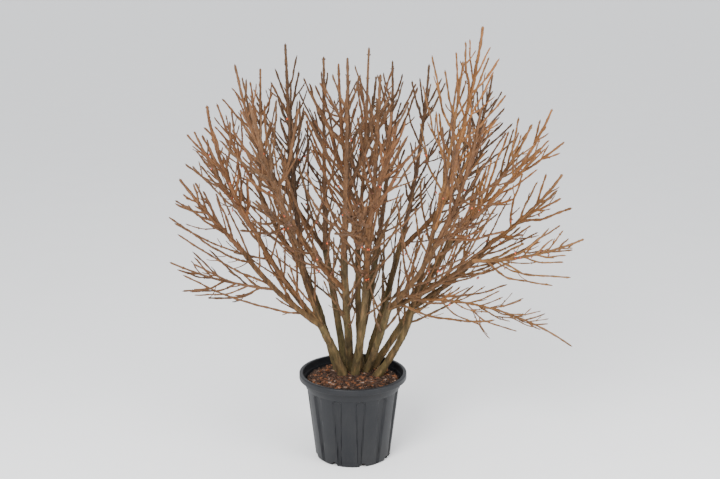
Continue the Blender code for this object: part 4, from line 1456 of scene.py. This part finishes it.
def hang_fruit(settings, nodes):
    """Stalked fruits under the inner nodes: a split husk, often with its seed coat below."""
    rng = np.random.default_rng(FRUIT_SEED)
    points, faces = ball_template()
    arils, husks, stalks = Bundle(), Bundle(), Bundle()
    low, high = FRUIT_ZONE
    inner = [root for root, share in nodes if low < root[2] < high and share < FRUIT_NODE_SHARE]
    for index in rng.choice(len(inner), settings.count // 2, replace=False):
        for _ in range(2):
            root = inner[index]
            way = np.array([*rng.uniform(-STALK_LEAN, STALK_LEAN, 2), -1.0])
            way /= np.linalg.norm(way)
            end = root + way * FRUIT_STALK * rng.uniform(*STALK_LENGTHS)
            stalk = np.linspace(root, end, 3)
            husk_tint = varied(settings.husk, rng, HUSK_TINT_SPREAD)
            winged_tube(stalks, stalk, np.full(3, STALK_RADIUS), SPUR_WOOD, husk_tint, rng)
            squeeze = HUSK_RADIUS * rng.uniform(*HUSK_SIZES) * HUSK_SHAPE
            husks.add(end + points * squeeze, NO_QUADS, faces, husk_tint)
            if rng.random() < ARIL_SHARE:
                size = ARIL_RADIUS * rng.uniform(*ARIL_SIZES) * ARIL_SHAPE
                below = end + np.array([*rng.uniform(-ARIL_ASIDE, ARIL_ASIDE, 2), ARIL_DROP])
                tint = varied(settings.aril, rng, ARIL_TINT_SPREAD)
                arils.add(below + points * size, NO_QUADS, faces, tint)
    return arils, husks, stalks


def fruit_finish(name, roughness):
    paint = Paint(name)
    spots = paint.noise(300.0, 3.0)
    colour = paint.shade(paint.attribute("tint", "Color"), paint.span(spots, 0.3, 0.7, 0.75, 1.2))
    return paint.finish(colour, roughness - spots * 0.1, spots, 0.3, 0.0008, specular=0.4)


class BUSH_OT_fruit(Operator):
    """Hang the dry husks and the orange seed coats on the inner twigs"""

    bl_idname = "bush.fruit"
    bl_label = "Fruit"

    def execute(self, context):
        settings = context.scene.bush_fruit
        arils, husks, stalks = hang_fruit(settings, grown_crown()[1].nodes)
        husk_finish = fruit_finish("fruit_husk", 0.8)
        dress(arils.build("seed_coats", fruit_finish("seed_coat", 0.5)))
        dress(husks.build("fruit_husks", husk_finish))
        dress(stalks.build("fruit_stalks", husk_finish))
        return {"FINISHED"}


# Stage

CAMERA_PLACE = (0.028, -4.107, 1.863)
CAMERA_PITCH = 13.47
CAMERA_LENS = 55.0
FLOOR_RADIUS = 150.0
FLOOR_SIDES = 64
FLOOR_INSET = 0.9
KEY_PLACE = (-1.6, -3.6, 3.4)
KEY_AIM = (0.0, 0.0, 0.9)
KEY_SIZE = 2.6
FILL_PLACE = (2.8, -2.2, 2.0)
FILL_AIM = (0.0, 0.0, 0.8)
FILL_SIZE = 2.4
SKY_COLOUR = (0.95, 0.97, 1.0)


def make_floor(settings):
    """A plain floor that runs to the horizon on every side, level with the pot's foot."""
    deselect_all()
    bpy.ops.mesh.primitive_circle_add(vertices=FLOOR_SIDES, radius=FLOOR_RADIUS, fill_type="NGON")
    floor = bpy.context.object
    floor.name = "studio_floor"
    bpy.ops.object.mode_set(mode="EDIT")
    bpy.ops.mesh.select_all(action="SELECT")
    bpy.ops.mesh.inset(thickness=FLOOR_RADIUS * FLOOR_INSET, depth=0.0)
    bpy.ops.object.mode_set(mode="OBJECT")
    paint = Paint("floor_paint")
    cloud = paint.noise(3.0, 3.0)
    colour = paint.shade(rgba(settings.floor), paint.span(cloud, 0.3, 0.7, 0.985, 1.0))
    floor.data.materials.append(paint.finish(colour, 0.75 + cloud * 0.05, specular=0.2))


def add_area_light(name, place, target, size, power):
    bpy.ops.object.light_add(type="AREA", location=place)
    light = bpy.context.object
    light.name = name
    light.data.shape = "DISK"
    light.data.size = size
    light.data.energy = power
    light.rotation_euler = (Vector(target) - Vector(place)).to_track_quat("-Z", "Y").to_euler()


class BUSH_OT_stage(Operator):
    """Set up the pale floor, the soft lights and the camera"""

    bl_idname = "bush.stage"
    bl_label = "Stage"

    def execute(self, context):
        settings = context.scene.bush_stage
        make_floor(settings)
        add_area_light("key_light", KEY_PLACE, KEY_AIM, KEY_SIZE, settings.key_power)
        add_area_light("fill_light", FILL_PLACE, FILL_AIM, FILL_SIZE, settings.fill_power)
        world = bpy.data.worlds.new("room")
        world.use_nodes = True
        sky = world.node_tree.nodes["Background"]
        sky.inputs["Color"].default_value = rgba(SKY_COLOUR)
        sky.inputs["Strength"].default_value = settings.sky
        context.scene.world = world
        bpy.ops.object.camera_add(
            location=CAMERA_PLACE, rotation=(math.radians(90 - CAMERA_PITCH), 0.0, 0.0),
        )
        camera = bpy.context.object
        camera.data.lens = CAMERA_LENS
        context.scene.camera = camera
        return {"FINISHED"}


# Add-on

SETTINGS = {
    "bush_pot": PotSettings,
    "bush_bed": BedSettings,
    "bush_wood": WoodSettings,
    "bush_crown": CrownSettings,
    "bush_fruit": FruitSettings,
    "bush_stage": StageSettings,
}
OPERATORS = (
    BUSH_OT_pot,
    BUSH_OT_potting_bark,
    BUSH_OT_old_wood,
    BUSH_OT_crown,
    BUSH_OT_fruit,
    BUSH_OT_stage,
)


class BUSH_PT_panel(Panel):
    """Lists the pieces of the bush with their settings"""

    bl_idname = "BUSH_PT_panel"
    bl_label = "Burning bush"
    bl_space_type = "VIEW_3D"
    bl_region_type = "UI"
    bl_category = "Burning bush"

    def draw(self, context):
        for name, operator in zip(SETTINGS, OPERATORS):
            box = self.layout.box()
            box.operator(operator.bl_idname)
            group = getattr(context.scene, name)
            for prop in SETTINGS[name].__annotations__:
                box.prop(group, prop)


def register():
    for cls in (*SETTINGS.values(), *OPERATORS, BUSH_PT_panel):
        bpy.utils.register_class(cls)
    for name, cls in SETTINGS.items():
        setattr(bpy.types.Scene, name, PointerProperty(type=cls))


def unregister():
    for name in SETTINGS:
        delattr(bpy.types.Scene, name)
    for cls in (BUSH_PT_panel, *reversed(OPERATORS), *SETTINGS.values()):
        bpy.utils.unregister_class(cls)


def main():
    register()
    bpy.ops.bush.pot()
    bpy.ops.bush.potting_bark()
    bpy.ops.bush.old_wood()
    bpy.ops.bush.crown()
    bpy.ops.bush.fruit()
    bpy.ops.bush.stage()


if __name__ == "__main__":
    main()
